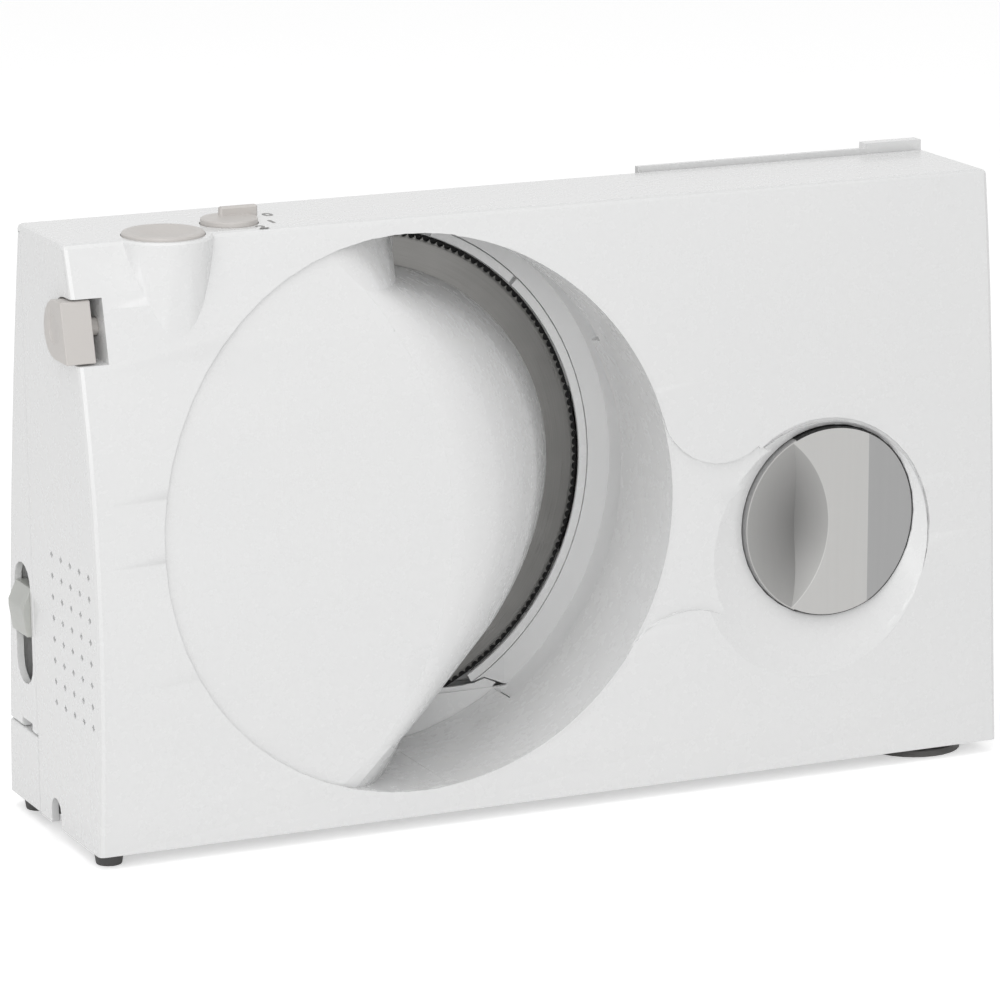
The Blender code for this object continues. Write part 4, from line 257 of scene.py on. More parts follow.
finishes = {
    "white": mouldedPlastic("glossWhiteCase", (0.778, 0.781, 0.781), (0.783, 0.785, 0.783), 0.265, 0.28, 900.0, 0.00001,
                            {"Coat Weight": 0.2, "Coat Roughness": 0.08}, 0.002),
    "button": mouldedPlastic("warmGreyButton", (0.56, 0.535, 0.515), (0.61, 0.585, 0.56), 0.36, 0.48, 2600.0, 0.00003,
                             {}),
    "latch": mouldedPlastic("paleLatchGrey", (0.47, 0.48, 0.455), (0.52, 0.53, 0.50), 0.30, 0.42, 1800.0, 0.00003, {}),
    "plate": mouldedPlastic("palePlateWhite", (0.765, 0.768, 0.768), (0.775, 0.777, 0.775), 0.29, 0.31, 1500.0, 0.00001,
                            {}, 0.002),
    "knob": knobLacquerWithPaintedShade("silverKnobLacquerPaintedShade", knobShape),
    "blade": roundGround("groundBladeSteel", bladeCentre, (0.17, 0.168, 0.162), (0.25, 0.246, 0.238), 0.26, 0.38,
                         2600.0, {"Metallic": 1.0, "Anisotropic": 0.4}, 1.6, 0.1),
    # painted shadow: near-black finish for the ring round the blade's edge
    "edge": roundGround("paintedEdgeShadow", bladeCentre, (0.006, 0.006, 0.006), (0.014, 0.014, 0.014), 0.5, 0.6, 6000.0,
                        {"Specular IOR Level": 0.15}),
    "turned": roundGround("turnedSteel", bladeCentre, (0.50, 0.50, 0.50), (0.62, 0.62, 0.62), 0.2, 0.34, 6000.0,
                          {"Metallic": 1.0}),
    "bronze": mouldedPlastic("sinteredBronze", (0.38, 0.25, 0.11), (0.52, 0.36, 0.17), 0.42, 0.6, 3200.0, 0.0001,
                             {"Metallic": 0.9}),
    "nylon": mouldedPlastic("naturalNylon", (0.68, 0.66, 0.58), (0.74, 0.72, 0.65), 0.38, 0.5, 1200.0, 0.00004,
                            {"Subsurface Weight": 0.05}),
    "black": mouldedPlastic("blackMoulding", (0.018, 0.018, 0.019), (0.032, 0.032, 0.033), 0.34, 0.5, 1800.0, 0.00006,
                            {}),
    "zinc": mouldedPlastic("zincPlate", (0.42, 0.43, 0.44), (0.54, 0.545, 0.55), 0.28, 0.42, 700.0, 0.00004,
                           {"Metallic": 1.0}),
    "rubber": mouldedPlastic("footRubber", (0.055, 0.055, 0.056), (0.085, 0.084, 0.083), 0.6, 0.78, 2200.0, 0.0001, {}),
    "suction": mouldedPlastic("suctionRubber", (0.115, 0.113, 0.11), (0.155, 0.152, 0.148), 0.46, 0.6, 1500.0, 0.0001,
                              {}),
    "runner": straightBrushed("brushedRunnerSteel", (24.0, 900.0, 900.0), (0.46, 0.46, 0.455), (0.58, 0.58, 0.575),
                              0.24, 0.38, {"Metallic": 1.0}),
}

finishOf = {
    "front_housing": "white", "rear_cover": "white", "base_frame": "white", "table": "white", "carriage": "white",
    "table_plate": "runner", "stop_plate": "plate", "blade": "blade", "blade_hub": "nylon", "blade_lock": "button",
    "blade_shaft": "turned", "rear_bush": "bronze", "front_bush": "bronze", "gear_pin": "turned", "blade_gear": "nylon",
    "intermediate_gear": "nylon", "motor_shaft": "turned", "motor_pinion": "nylon", "motor_can": "zinc",
    "cooling_fan": "black", "switch_block": "black", "on_button": "button", "on_button_spring": "turned",
    "selector": "button", "safety_button": "button", "fold_lock_lever": "latch", "thickness_knob": "knob",
    "knob_spindle": "turned", "suction_foot": "suction",
}


def finishFor(name):
    if name in finishOf:
        return finishes[finishOf[name]]
    if "foot" in name:
        return finishes["rubber"]
    return finishes["turned"] if "guide_pin" in name or "hinge_pin" in name else finishes["zinc"]


for name, node in nodes.items():
    node.data.materials.clear()
    node.data.materials.append(finishFor(name))
print("slicer: finishes on", len(nodes), "nodes")


# stage, light and camera
stage = {"floorSize": 5.0, "floorShade": (0.93, 0.93, 0.93), "floorVary": 0.006, "seenLift": 0.42, "sky": 0.53,
         "skySeen": 1.0}
bpy.ops.object.select_all(action="DESELECT")
bpy.ops.mesh.primitive_plane_add(size=stage["floorSize"], location=(0, 0, 0))
floor = bpy.context.object
floor.name = "paleFloor"
floorFinish, floorTree, floorShader = newFinish("paleFloorPaint", {"Roughness": 0.9, "Specular IOR Level": 0.1})
floorGrain = grain(floorTree, objectPlace(floorTree), 3.0)
floorShade = stage["floorShade"]
floorTree.links.new(shades(floorTree, floorGrain, [part - stage["floorVary"] for part in floorShade], floorShade),
                    floorShader.inputs["Base Color"])
floorShader.inputs["Emission Color"].default_value = (1, 1, 1, 1)
floorTree.links.new(spread(floorTree, seenDirectly(floorTree), 0.0, stage["seenLift"], 0.0, 1.0),
                    floorShader.inputs["Emission Strength"])
floor.data.materials.append(floorFinish)

world = bpy.data.worlds.new("paleStudio")
bpy.context.scene.world = world
world.use_nodes = True
sky = world.node_tree
back = sky.nodes["Background"]
back.inputs["Color"].default_value = (1, 1, 1, 1)
sky.links.new(spread(sky, seenDirectly(sky), stage["sky"], stage["skySeen"], 0.0, 1.0), back.inputs["Strength"])

lamps = {
    "topSoftbox": {"place": (-0.25, -0.35, 1.7), "aim": (0, 0, 0.08), "size": 1.6, "power": 8.5},
    "leftSoftbox": {"place": (-1.55, -1.25, 0.7), "aim": (0, 0, 0.1), "size": 1.2, "power": 4.2},
    "frontSoftbox": {"place": (-0.75, -1.75, 0.75), "aim": (0, 0, 0.1), "size": 1.2, "power": 9.0},
}
for lampName, lamp in lamps.items():
    light = bpy.data.lights.new(lampName, "AREA")
    light.shape = "SQUARE"
    light.size = lamp["size"]
    light.energy = lamp["power"]
    holder = bpy.data.objects.new(lampName, light)
    bpy.context.scene.collection.objects.link(holder)
    holder.location = lamp["place"]
    holder.rotation_euler = (Vector(lamp["aim"]) - Vector(lamp["place"])).to_track_quat("-Z", "Y").to_euler()

view = {"azimuth": -24.8, "elevation": 13.1, "distance": 1.8, "focus": 5346.1, "middle": (504.0, 463.1),
        "frame": 1000.0, "aim": (0.0, 45.0, 105.0), "sensor": 36.0, "clipEnd": 50.0}
turn, rise = math.radians(view["azimuth"]), math.radians(view["elevation"])
towards = Vector((math.sin(turn) * math.cos(rise), -math.cos(turn) * math.cos(rise), math.sin(rise)))
lookAt = at(*view["aim"])
camera = bpy.data.cameras.new("photoCamera")
camera.sensor_width = view["sensor"]
camera.lens = view["focus"] * camera.sensor_width / view["frame"]
camera.shift_x = (view["frame"] / 2 - view["middle"][0]) / view["frame"]
camera.shift_y = (view["middle"][1] - view["frame"] / 2) / view["frame"]
camera.clip_end = view["clipEnd"]
eye = bpy.data.objects.new("photoCamera", camera)
bpy.context.scene.collection.objects.link(eye)
eye.location = lookAt + towards * view["distance"]
eye.rotation_euler = (-towards).to_track_quat("-Z", "Y").to_euler()
bpy.context.scene.camera = eye
bpy.context.scene.view_settings.view_transform = "Standard"
print("slicer: stage, light and camera set")


# helpers that pick, settle, turn, cut and finish a piece
xAxis, yAxis, zAxis = Vector((1, 0, 0)), Vector((0, 1, 0)), Vector((0, 0, 1))
facing = {"y": (-math.pi / 2, 0, 0), "z": (0, 0, 0), "x": (0, math.pi / 2, 0)}
pointing = {"y": yAxis, "z": zAxis, "x": xAxis}


def clearPick():
    if bpy.context.object and bpy.context.object.mode != "OBJECT":
        bpy.ops.object.mode_set(mode="OBJECT")
    bpy.ops.object.select_all(action="DESELECT")


def pickOnly(piece):
    clearPick()
    bpy.context.view_layer.objects.active = piece
    piece.select_set(True)


def settle(piece):
    bpy.ops.object.mode_set(mode="OBJECT")
    bpy.context.view_layer.update()
    piece.data.transform(piece.matrix_world)
    piece.matrix_world = Matrix.Identity(4)


def finishPiece(piece, name, finish, body, smooth=32.0):
    settle(piece)
    piece.name = name
    piece.data.name = name
    piece.data.materials.clear()
    piece.data.materials.append(finish)
    pickOnly(piece)
    bpy.ops.object.shade_smooth_by_angle(angle=math.radians(smooth))
    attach(piece, body)
    return piece


def applyModifier(piece, kind, settings):
    pickOnly(piece)
    modifier = piece.modifiers.new("step", kind)
    for key, value in settings.items():
        setattr(modifier, key, value)
    bpy.ops.object.modifier_apply(modifier=modifier.name)


def carve(piece, tool, operation="DIFFERENCE"):
    applyModifier(piece, "BOOLEAN", {"operation": operation, "solver": "EXACT", "object": tool})
    bpy.data.objects.remove(tool, do_unlink=True)


def tidyFaces(piece):
    pickOnly(piece)
    bpy.ops.object.mode_set(mode="EDIT")
    bpy.ops.mesh.select_all(action="SELECT")
    bpy.ops.mesh.remove_doubles(threshold=0.00001)
    bpy.ops.mesh.normals_make_consistent(inside=False)
    bpy.ops.object.mode_set(mode="OBJECT")


def turnedPiece(centre, axis, steps, profile, closed=False):
    # a ring drawn out along its axis, through pairs of radius and height in millimetres
    clearPick()
    along = pointing[axis]
    radius, height = profile[0]
    bpy.ops.mesh.primitive_circle_add(vertices=steps, radius=radius * mm, fill_type="NOTHING",
                                      location=centre + along * height * mm, rotation=facing[axis])
    piece = bpy.context.object
    bpy.ops.object.mode_set(mode="EDIT")
    bpy.ops.mesh.select_mode(type="VERT")
    bpy.ops.mesh.select_all(action="SELECT")
    if not closed:
        bpy.ops.mesh.edge_face_add()
        bpy.ops.mesh.select_all(action="SELECT")
    for (lastRadius, lastHeight), (radius, height) in zip(profile, profile[1:]):
        bpy.ops.mesh.extrude_region_move(TRANSFORM_OT_translate={"value": along * (height - lastHeight) * mm})
        grow = radius / lastRadius
        bpy.ops.transform.resize(value=[1 if along[i] else grow for i in range(3)],
                                 center_override=centre + along * height * mm)
    settle(piece)
    tidyFaces(piece)
    return piece


def refinedCopy(name, edge=0.0, smooth=32.0):
    # the node's own mesh, merged, with flats joined and its edges eased
    clearPick()
    piece = bpy.data.objects.new(name + "Dressed", nodes[name].data.copy())
    bpy.context.scene.collection.objects.link(piece)
    pickOnly(piece)
    bpy.ops.object.mode_set(mode="EDIT")
    bpy.ops.mesh.select_all(action="SELECT")
    bpy.ops.mesh.remove_doubles(threshold=0.00001)
    bpy.ops.mesh.dissolve_limited(angle_limit=math.radians(0.05))
    bpy.ops.object.mode_set(mode="OBJECT")
    if edge:
        applyModifier(piece, "BEVEL", {"width": edge * mm, "segments": 2, "limit_method": "ANGLE",
                                       "angle_limit": math.radians(40)})
    finishPiece(piece, name + "Dressed", finishFor(name), bodyOf[name], smooth)
    applyModifier(piece, "WEIGHTED_NORMAL", {"mode": "FACE_AREA", "weight": 90, "keep_sharp": True, "thresh": 0.01})
    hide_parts(name)
    return piece


# case mouldings, with their edges eased
caseEasing = {"front_housing": (0.0, 14.0), "rear_cover": (0.0, 30.0), "base_frame": (0.0, 30.0),
              "stop_plate": (0.0, 24.0), "table": (0.0, 30.0), "carriage": (0.4, 30.0), "table_plate": (0.3, 30.0),
              "selector": (0.25, 30.0), "fold_lock_lever": (0.35, 30.0), "suction_foot": (0.0, 40.0),
              "rubber_foot_front_left": (0.3, 40.0), "rubber_foot_rear_left": (0.3, 40.0),
              "rubber_foot_rear_right": (0.3, 40.0), "motor_can": (0.4, 30.0), "switch_block": (0.3, 30.0),
              "blade_hub": (0.2, 30.0), "blade_lock": (0.3, 30.0)}
for name, (edge, smooth) in caseEasing.items():
    refinedCopy(name, edge, smooth)
print("slicer: mouldings eased", len(caseEasing))


# blade
bladeShape = {"centre": onAxis(bladeMiddle), "teeth": 188, "outer": 85.0, "peak": 84.2, "bite": 83.1, "front": 58.0,
              "layer": 58.7, "back": 59.4, "biteIn": 82.9, "grindIn": 82.4, "dishIn": 46.0, "dishOut": 50.0,
              "dishDeep": 1.9, "hole": 7.55, "layerIn": 80.0, "ringIn": 81.0, "ringEase": 0.15, "ringSet": 0.02,
              "peakSet": 0.12, "biteSet": 0.04, "grindWide": 0.3}
shape = bladeShape
steel = turnedPiece(shape["centre"], "y", shape["teeth"] * 6, [(shape["peak"], shape["front"] + shape["peakSet"]),
                                                               (shape["biteIn"], shape["front"] + shape["biteSet"]),
                                                               (shape["grindIn"], shape["front"]),
                                                               (shape["grindIn"] - shape["grindWide"], shape["front"]),
                                                               (shape["dishOut"], shape["front"]),
                                                               (shape["dishIn"], shape["front"] - shape["dishDeep"]),
                                                               (shape["hole"], shape["front"] - shape["dishDeep"]),
                                                               (shape["hole"], shape["back"] - shape["dishDeep"]),
                                                               (shape["dishIn"], shape["back"] - shape["dishDeep"]),
                                                               (shape["dishOut"], shape["back"]),
                                                               (shape["layerIn"], shape["back"]),
                                                               (shape["layerIn"], shape["layer"]),
                                                               (shape["peak"], shape["layer"]),
                                                               (shape["peak"], shape["front"] + shape["peakSet"])],
                    closed=True)
biteDepth = (0.0, 0.7, 0.95, 1.0, 0.95, 0.7)
for phase, share in enumerate(biteDepth):
    if share == 0.0:
        continue
    pickOnly(steel)
    bpy.ops.object.mode_set(mode="EDIT")
    bpy.ops.mesh.select_mode(type="VERT")
    bpy.ops.mesh.select_all(action="DESELECT")
    bpy.ops.object.mode_set(mode="OBJECT")
    for vert in steel.data.vertices:
        out = vert.co - shape["centre"]
        step = round(math.atan2(out.z, out.x) / (2 * math.pi) * shape["teeth"] * 6)
        vert.select = math.hypot(out.x, out.z) > (shape["peak"] - 0.2) * mm and step % 6 == phase
    bpy.ops.object.mode_set(mode="EDIT")
    shrink = (shape["peak"] - (shape["peak"] - shape["bite"]) * share) / shape["peak"]
    bpy.ops.transform.resize(value=(shrink, 1, shrink), center_override=shape["centre"])
    bpy.ops.object.mode_set(mode="OBJECT")
finishPiece(steel, "groundBlade", finishes["blade"], "blade", 20.0)
# the ring round the blade's rim is near-black, a painted shadow for the gap at the blade's edge
ringFront = shape["layer"] + shape["ringSet"]
bladeEdgeShadowRing = turnedPiece(shape["centre"], "y", 360, [(shape["ringIn"], ringFront),
                                                   (shape["outer"] - shape["ringEase"], ringFront),
                                                   (shape["outer"], shape["layer"] + shape["ringEase"]),
                                                   (shape["outer"], shape["back"] - shape["ringEase"]),
                                                   (shape["outer"] - shape["ringEase"], shape["back"]),
                                                   (shape["ringIn"], shape["back"]), (shape["ringIn"], ringFront)],
                       closed=True)
finishPiece(bladeEdgeShadowRing, "bladeEdgePaintedShadow", finishes["edge"], "blade", 30.0)
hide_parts("blade")
print("slicer: blade ground")


# rings in the well: the wall's smooth skin, and the stop plate's lip beside the blade
def faceY(x, z):
    # depth of the bulged face, as the case is drawn
    up, across = z / caseForm["height"], (x + caseForm["width"] / 2) / caseForm["width"]
    lean, bulge = (start + slope * across for start, slope in (caseForm["lean"], caseForm["bulge"]))
    return lean * up ** 3 - 4 * bulge * up * (1 - up)


def ringPart(shape, profile, ends):
    # a turned ring with all but one sweep of it deleted and its two ends closed
    piece = turnedPiece(shape["centre"], "y", shape["steps"], profile, closed=True)

    def pickVerts(rule):
        pickOnly(piece)
        bpy.ops.object.mode_set(mode="EDIT")
        bpy.ops.mesh.select_mode(type="VERT")
        bpy.ops.mesh.select_all(action="DESELECT")
        bpy.ops.object.mode_set(mode="OBJECT")
        for vert in piece.data.vertices:
            out = vert.co - shape["centre"]
            vert.select = rule(math.degrees(math.atan2(out.z, out.x)))
        bpy.ops.object.mode_set(mode="EDIT")

    low, high = ends
    slack, reach = 0.1, 0.4
    pickVerts(lambda angle: angle < low - slack or angle > high + slack)
    bpy.ops.mesh.delete(type="VERT")
    for end in ends:
        pickVerts(lambda angle: abs(angle - end) < reach)
        bpy.ops.mesh.edge_face_add()
    bpy.ops.object.mode_set(mode="OBJECT")
    return piece


wallShape = {"centre": onAxis(wellMiddle), "inner": 91.76, "outer": 92.8, "recess": 1.3, "neck": (-36.5, 15.5),
             "back": 41.6, "upperBack": 32.9, "upperFrom": 30.0, "steps": 360, "ends": (-84, 79), "start": 3.0,
             "proud": 0.10}
shape = wallShape
wallSkin = ringPart(shape, [(shape["inner"], shape["start"]), (shape["outer"], shape["start"]),
                            (shape["outer"], shape["back"]), (shape["inner"], shape["back"]),
                            (shape["inner"], shape["start"])], shape["ends"])
wallHalf = (shape["inner"] + shape["outer"]) / 2
for vert in wallSkin.data.vertices:
    # the front edge follows the bulged face, sunk in the neck, and its inner line stands a little proud
    place = (vert.co - origin) / mm
    across, up = place.x - wellMiddle[0], place.z - wellMiddle[1]
    angle = math.degrees(math.atan2(up, across))
    if place.y < shape["start"] + 1.0:
        inNeck = shape["neck"][0] < angle < shape["neck"][1]
        proud = shape["proud"] if math.hypot(up, across) < wallHalf else 0.0
        vert.co.y = origin.y + (faceY(place.x, place.z) + (shape["recess"] if inNeck else 0.0) - proud) * mm
    elif angle > shape["upperFrom"] - 0.5:
        vert.co.y = origin.y + shape["upperBack"] * mm
finishPiece(wallSkin, "wellWallSkin", finishes["white"], "housing", 30.0)

lipShape = {"centre": onAxis(bladeMiddle), "inner": 85.25, "outer": 88.25, "front": 56.9, "back": 57.9, "steps": 720,
            "parts": ((-59.5, 45.5), (46.5, 69.5)), "easeIn": 0.15, "easeOut": 0.2}
shape = lipShape
for number, ends in enumerate(shape["parts"], 1):
    lip = ringPart(shape, [(shape["inner"], shape["front"] + shape["easeIn"]),
                           (shape["inner"] + shape["easeIn"], shape["front"]),
                           (shape["outer"] - shape["easeOut"], shape["front"]),
                           (shape["outer"], shape["front"] + shape["easeOut"]), (shape["outer"], shape["back"]),
                           (shape["inner"], shape["back"]), (shape["inner"], shape["front"] + shape["easeIn"])], ends)
    finishPiece(lip, f"plateLip{number}", finishes["white"], "stop_plate", 30.0)


def cutOut(outline, low, high):
    # a flat piece from its outline in millimetres, drawn out along y
    clearPick()
    bpy.ops.mesh.primitive_circle_add(vertices=len(outline), radius=1.0, fill_type="NGON", location=(0, 0, 0))
    piece = bpy.context.object
    for vert, (x, z) in zip(piece.data.vertices, outline):
        vert.co = at(x, low, z)
    bpy.ops.object.mode_set(mode="EDIT")
    bpy.ops.mesh.select_all(action="SELECT")
    bpy.ops.mesh.extrude_region_move(TRANSFORM_OT_translate={"value": yAxis * (high - low) * mm})
    settle(piece)
    tidyFaces(piece)
    return piece


skirtShape = {"centre": onAxis(wellMiddle), "inner": 94.72, "outer": 96.6, "front": 32.2, "back": 57.0, "steps": 360,
              "ends": (-56, -51)}
shape = skirtShape
skirtEnd = ringPart(shape, [(shape["inner"], shape["front"]), (shape["outer"], shape["front"]),
                            (shape["outer"], shape["back"]), (shape["inner"], shape["back"]),
                            (shape["inner"], shape["front"])], shape["ends"])
finishPiece(skirtEnd, "plateSkirtEnd", finishes["plate"], "stop_plate", 30.0)

# the knob's dish, a smooth cone between two circles that don't share a centre
dishShape = {"rim": (100.0, 78.5), "rimRadius": 41.0, "rimY": 2.5, "floor": (103.0, 83.5), "floorRadius": 33.12,
             "floorY": 6.0, "steps": 180, "proud": 0.22, "back": 7.0, "neck": (126.6, 223.0), "rounds": 4}
shape = dishShape
dish = turnedPiece(onAxis(shape["rim"]), "y", shape["steps"], [(shape["rimRadius"], shape["rimY"]),
                                                               (shape["floorRadius"], shape["floorY"]),
                                                               (shape["floorRadius"], shape["back"]),
                                                               (shape["rimRadius"], shape["back"]),
                                                               (shape["rimRadius"], shape["rimY"])], closed=True)
for vert in dish.data.vertices:
    place = (vert.co - origin) / mm
    out = Vector((place.x - shape["rim"][0], place.z - shape["rim"][1]))
    inner = Vector(shape["floor"]) + out.normalized() * shape["floorRadius"]
    rim = Vector(shape["rim"]) + out.normalized() * shape["rimRadius"]
    share, height = 0.0, place.y
    if out.length > shape["floorRadius"] + 1.0:
        # the cone stops where it meets the face, or the neck's recessed floor
        turned = math.degrees(math.atan2(out.y, out.x)) % 360.0
        sunk = wallShape["recess"] if shape["neck"][0] < turned < shape["neck"][1] else 0.0
        share = 1.0
        for i in range(shape["rounds"]):
            spot = inner.lerp(rim, share)
            share = (shape["floorY"] - faceY(spot.x, spot.y) - sunk) / (shape["floorY"] - shape["rimY"])
        if place.y < shape["floorY"]:
            height = shape["floorY"] - share * (shape["floorY"] - shape["rimY"])
    elif place.y < shape["floorY"] + 0.1:
        height = place.y - shape["proud"]
    spot = inner.lerp(rim, share)
    vert.co = at(spot.x, height, spot.y)
finishPiece(dish, "dishSkin", finishes["white"], "housing", 10.0)

footShape = {"lip": ((-36.4, 16.8), (-33.4, 16.4), (-30.0, 16.7), (-28.4, 18.6), (-27.0, 21.0), (-25.6, 23.6),
                     (-24.4, 25.0), (-22.6, 25.6), (-18.0, 25.7), (-13.6, 25.6), (-9.5, 25.7), (-7.4, 26.0),
                     (-6.2, 25.9), (-2.0, 27.3), (2.2, 25.4)), "wallRadius": 91.85, "wallFrom": -57.0, "wallTo": -98.0,
             "wallSteps": 24, "front": 56.5, "back": 57.2, "plateEnd": ((5.6, 34.6), (1.8, 31.6), (-2.0, 28.9),
                                                                        (-5.9, 26.6), (-2.0, 27.7), (5.6, 24.4)),
             "plateFront": 57.0, "plateBack": 57.9}
shape = footShape
wallLine = []
for i in range(shape["wallSteps"] + 1):
    angle = math.radians(shape["wallFrom"] + (shape["wallTo"] - shape["wallFrom"]) * i / shape["wallSteps"])
    wallLine.append((wellMiddle[0] + shape["wallRadius"] * math.cos(angle),
                     wellMiddle[1] + shape["wallRadius"] * math.sin(angle)))
finishPiece(cutOut(list(shape["lip"]) + wallLine, shape["front"], shape["back"]), "wellFootLip", finishes["white"],
            "housing", 30.0)
finishPiece(cutOut(shape["plateEnd"], shape["plateFront"], shape["plateBack"]), "plateEndLip", finishes["white"],
            "stop_plate", 30.0)

# the island's swept face, finer than the case, laid just over it
islandShape = {"crest": (-159.0, 100.8), "crestRadius": 120.0, "crestHalf": 38.6, "edgeCentre": bladeMiddle,
               "edgeRadius": 73.0, "edgeTop": 77.5, "edgeLow": -45.0, "arcShare": 0.75, "foot": (-37.0, 22.7),
               "recess": 1.3, "back": 57.3, "skin": 0.4, "along": 120, "across": 30, "proud": 0.04, "proudSlope": 8.0}
shape = islandShape


def islandEdge(share):
    if share <= shape["arcShare"]:
        angle = math.radians(shape["edgeTop"] + (shape["edgeLow"] - shape["edgeTop"]) * share / shape["arcShare"])
        return Vector((shape["edgeCentre"][0] + shape["edgeRadius"] * math.cos(angle),
                       shape["edgeCentre"][1] + shape["edgeRadius"] * math.sin(angle)))
    return islandEdge(shape["arcShare"]).lerp(Vector(shape["foot"]),
                                              (share - shape["arcShare"]) / (1 - shape["arcShare"]))


clearPick()
bpy.ops.mesh.primitive_grid_add(x_subdivisions=shape["along"], y_subdivisions=shape["across"], size=1.0,
                                location=(0, 0, 0))
island = bpy.context.object
for vert in island.data.vertices:
    share, part = vert.co.x + 0.5, vert.co.y + 0.5
    crestAngle = math.radians(shape["crestHalf"] * (1 - 2 * share))
    crest = Vector(shape["crest"]) + shape["crestRadius"] * Vector((math.cos(crestAngle), math.sin(crestAngle)))
    flat = crest.lerp(islandEdge(share), part)
    start = faceY(crest.x, crest.y) + shape["recess"]
    proud = shape["proud"] * min(1.0, part * shape["proudSlope"])
    vert.co = at(flat.x, start + (shape["back"] - start) * part ** 2 - proud, flat.y)
island.data.update()
if sum(face.normal.y for face in island.data.polygons) > 0:
    pickOnly(island)
    bpy.ops.object.mode_set(mode="EDIT")
    bpy.ops.mesh.select_all(action="SELECT")
    bpy.ops.mesh.flip_normals()
    bpy.ops.object.mode_set(mode="OBJECT")
applyModifier(island, "SOLIDIFY", {"thickness": shape["skin"] * mm, "offset": -1.0})
finishPiece(island, "islandSkin", finishes["white"], "housing", 40.0)
print("slicer: well rings, foot and island faced")


# thickness knob
shape = knobShape
knobCentre = at(shape["x"], shape["face"], shape["z"])
wideEase, smallEase = shape["rimEase"]
knob = turnedPiece(knobCentre, "y", 180, [(shape["radius"] - wideEase, 0.0), (shape["radius"] - smallEase, smallEase),
                                          (shape["radius"], wideEase), (shape["radius"], shape["depth"]),
                                          (shape["radius"] - shape["wall"], shape["depth"]),
                                          (shape["radius"] - shape["wall"], shape["cupFloor"])])
start, deep, edge = shape["coneStart"], shape["coneDeep"], shape["radius"] - shape["coneIn"]
rimCone = turnedPiece(knobCentre, "y", 240, [(edge + start / shape["scoopSlopeLeft"], -start),
                                             (edge - deep / shape["scoopSlopeLeft"], deep)])
rightPlace = knobCentre + xAxis * shape["rightCentre"] * mm
wideCone = turnedPiece(rightPlace, "y", 360, [(shape["rightRadius"] + start / shape["scoopSlopeRight"], -start),
                                              (shape["rightRadius"] - deep / shape["scoopSlopeRight"], deep)])
carve(rimCone, wideCone, "INTERSECT")
carve(knob, rimCone)
clearPick()
wide, thick, tall = shape["wedge"]
bpy.ops.mesh.primitive_cube_add(size=1.0, location=knobCentre + Vector((wide / 2, -thick / 2, 0)) * mm,
                                scale=(wide * mm, thick * mm, tall * mm))
wedge = bpy.context.object
settle(wedge)
wedge.data.transform(Matrix.Translation(knobCentre) @ Matrix.Rotation(math.radians(shape["stripSlope"]), 4,
                                                                      "Z") @ Matrix.Translation(-knobCentre))
wedge.data.transform(Matrix.Translation(xAxis * shape["stripStart"] * mm))
carve(knob, wedge)
tidyFaces(knob)
finishPiece(knob, "thicknessKnobCap", finishes["knob"], "thickness_knob", 12.0)
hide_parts("thickness_knob")
print("slicer: knob turned and scooped", len(knob.data.polygons))


# on button
onShape = {"x": -131.3, "y": 19.8, "radius": 13.4, "top": 199.2, "dish": 2.7, "skirt": 184.0, "room": 11.2, "stem": 3.6,
           "foot": 157.0, "middle": 0.3, "dishRadius": 11.0, "dishSteps": 12, "ceiling": 3.6,
           "rim": ((12.3, 0.0), (12.9, 0.15), (13.25, 0.45), (13.4, 0.9))}
shape = onShape
profile = [(shape["middle"], shape["top"] - shape["dish"])]
for i in range(1, shape["dishSteps"] + 1):
    share = i / shape["dishSteps"]
    profile.append((shape["middle"] + shape["dishRadius"] * share,
                    shape["top"] - shape["dish"] * (1 - share ** 2) ** 1.2))
profile += [(radius, shape["top"] - drop) for radius, drop in shape["rim"]]
profile += [(shape["radius"], shape["skirt"]), (shape["room"], shape["skirt"]),
            (shape["room"], shape["top"] - shape["ceiling"]), (shape["stem"], shape["top"] - shape["ceiling"]),
            (shape["stem"], shape["foot"])]
onButton = turnedPiece(at(shape["x"], shape["y"], 0), "z", 120, profile)
finishPiece(onButton, "onButtonCap", finishes["button"], "on_button", 30.0)
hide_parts("on_button")


# safety button with its finger dimple
safetyShape = {"y": 16.0, "z": 171.0, "dimple": 4.6, "dimpleDepth": 0.7, "edge": 0.35}
shape = safetyShape
safetyLow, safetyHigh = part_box("safety_button")
safety = refinedCopy("safety_button", shape["edge"])
clearPick()
dimplePlace = at(0, shape["y"], shape["z"])
dimplePlace.x = safetyLow.x
bpy.ops.mesh.primitive_uv_sphere_add(segments=48, ring_count=24, radius=1.0, location=dimplePlace,
                                     scale=(shape["dimpleDepth"] * mm, shape["dimple"] * mm, shape["dimple"] * mm))
dimple = bpy.context.object
settle(dimple)
carve(safety, dimple)
pickOnly(safety)
bpy.ops.object.shade_smooth_by_angle(angle=math.radians(30))
print("slicer: buttons shaped")


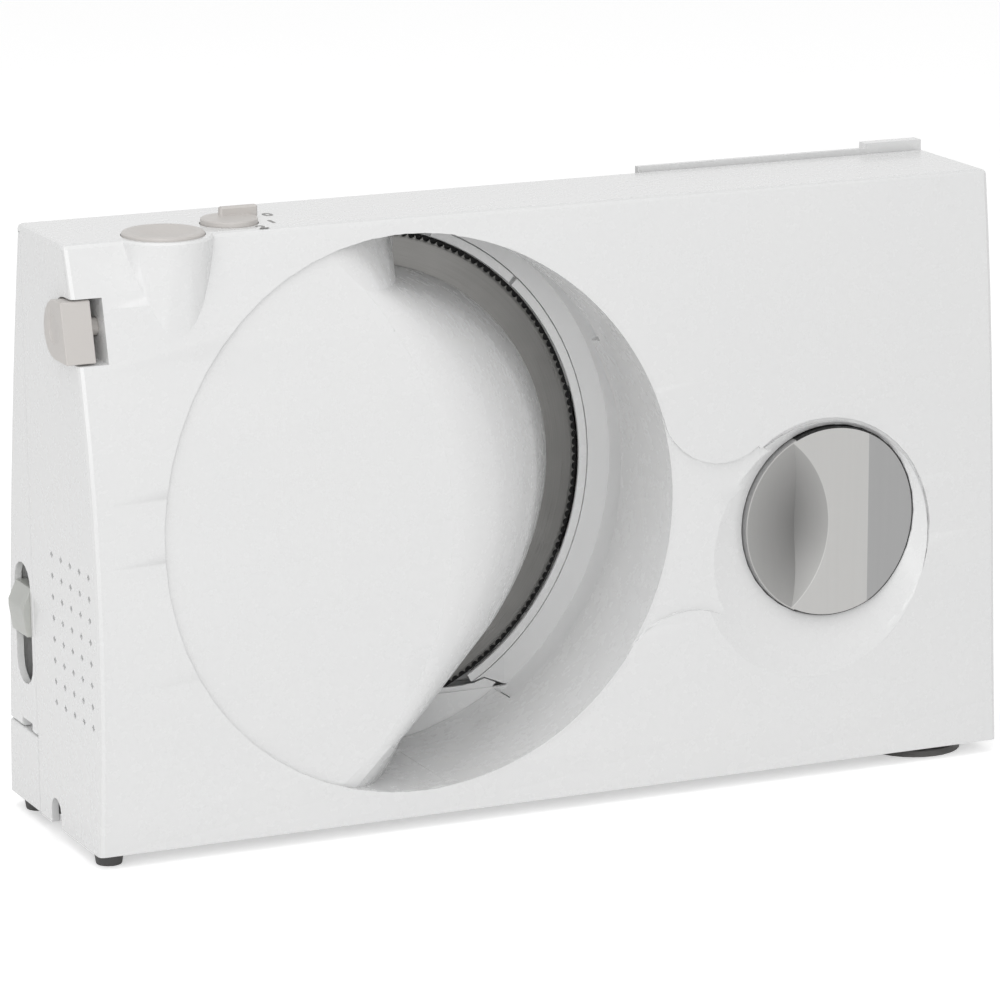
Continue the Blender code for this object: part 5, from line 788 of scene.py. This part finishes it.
# screws with a cross recess
screwShape = {"head": 2.8, "headTall": 1.4, "shank": 1.5, "length": 15.0, "crossWide": 0.55, "crossLong": 3.2,
              "crossDeep": 0.8, "dome": ((0.6, 0.06), (0.9, 0.3), (1.0, 0.8)), "middle": 0.3, "tipLong": 1.6,
              "tipRadius": 0.4, "tipFlat": 0.05}
shape = screwShape
for number in range(1, 5):
    name = f"housing_screw_{number}"
    low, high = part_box(name)
    place = Vector(((low.x + high.x) / 2, high.y, (low.z + high.z) / 2))
    if number == 1:
        profile = [(shape["middle"], 0.0)] + [(shape["head"] * share, -drop) for share, drop in shape["dome"]]
        profile += [(shape["head"], -shape["headTall"]), (shape["shank"], -shape["headTall"]),
                    (shape["shank"], -shape["length"] + shape["tipLong"]),
                    (shape["tipRadius"], -shape["length"] + shape["tipFlat"])]
        first = turnedPiece(place, "y", 40, profile)
        for wide, tall in ((shape["crossLong"], shape["crossWide"]), (shape["crossWide"], shape["crossLong"])):
            clearPick()
            bpy.ops.mesh.primitive_cube_add(size=1.0, location=place,
                                            scale=(wide * mm, 2 * shape["crossDeep"] * mm, tall * mm))
            bit = bpy.context.object
            settle(bit)
            carve(first, bit)
        firstPlace = place
        screw = first
    else:
        screw = bpy.data.objects.new(name + "Detail", first.data.copy())
        bpy.context.scene.collection.objects.link(screw)
        screw.data.transform(Matrix.Translation(place - firstPlace))
    finishPiece(screw, name + "Detail", finishes["zinc"], bodyOf[name])
    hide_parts(name)
print("slicer: screws cut")


# printed numbers by the selector
numberMarks = {"places": ((-88.0, 37.5, "0"), (-91.5, 25.5, "1"), (-98.0, 18.0, "2")), "height": 6.6, "thickness": 0.03,
               "bold": 0.22, "top": 198.0}
ink, inkTree, inkShader = newFinish("greyPadInk", {})
inkTree.links.new(shades(inkTree, grain(inkTree, objectPlace(inkTree), 900.0), (0.20, 0.195, 0.19),
                         (0.26, 0.255, 0.25)), inkShader.inputs["Base Color"])
inkTree.links.new(spread(inkTree, grain(inkTree, objectPlace(inkTree), 400.0), 0.4, 0.55),
                  inkShader.inputs["Roughness"])
for x, y, figure in numberMarks["places"]:
    clearPick()
    bpy.ops.object.text_add(location=at(x, y, numberMarks["top"] + numberMarks["thickness"]))
    mark = bpy.context.object
    mark.data.body = figure
    mark.data.size = numberMarks["height"] * mm
    mark.data.offset = numberMarks["bold"] * mm
    mark.data.extrude = numberMarks["thickness"] * mm
    mark.data.align_x = "CENTER"
    mark.data.align_y = "CENTER"
    bpy.ops.object.convert(target="MESH")
    finishPiece(mark, "numberMark" + figure, ink, "housing")
print("slicer: numbers printed")
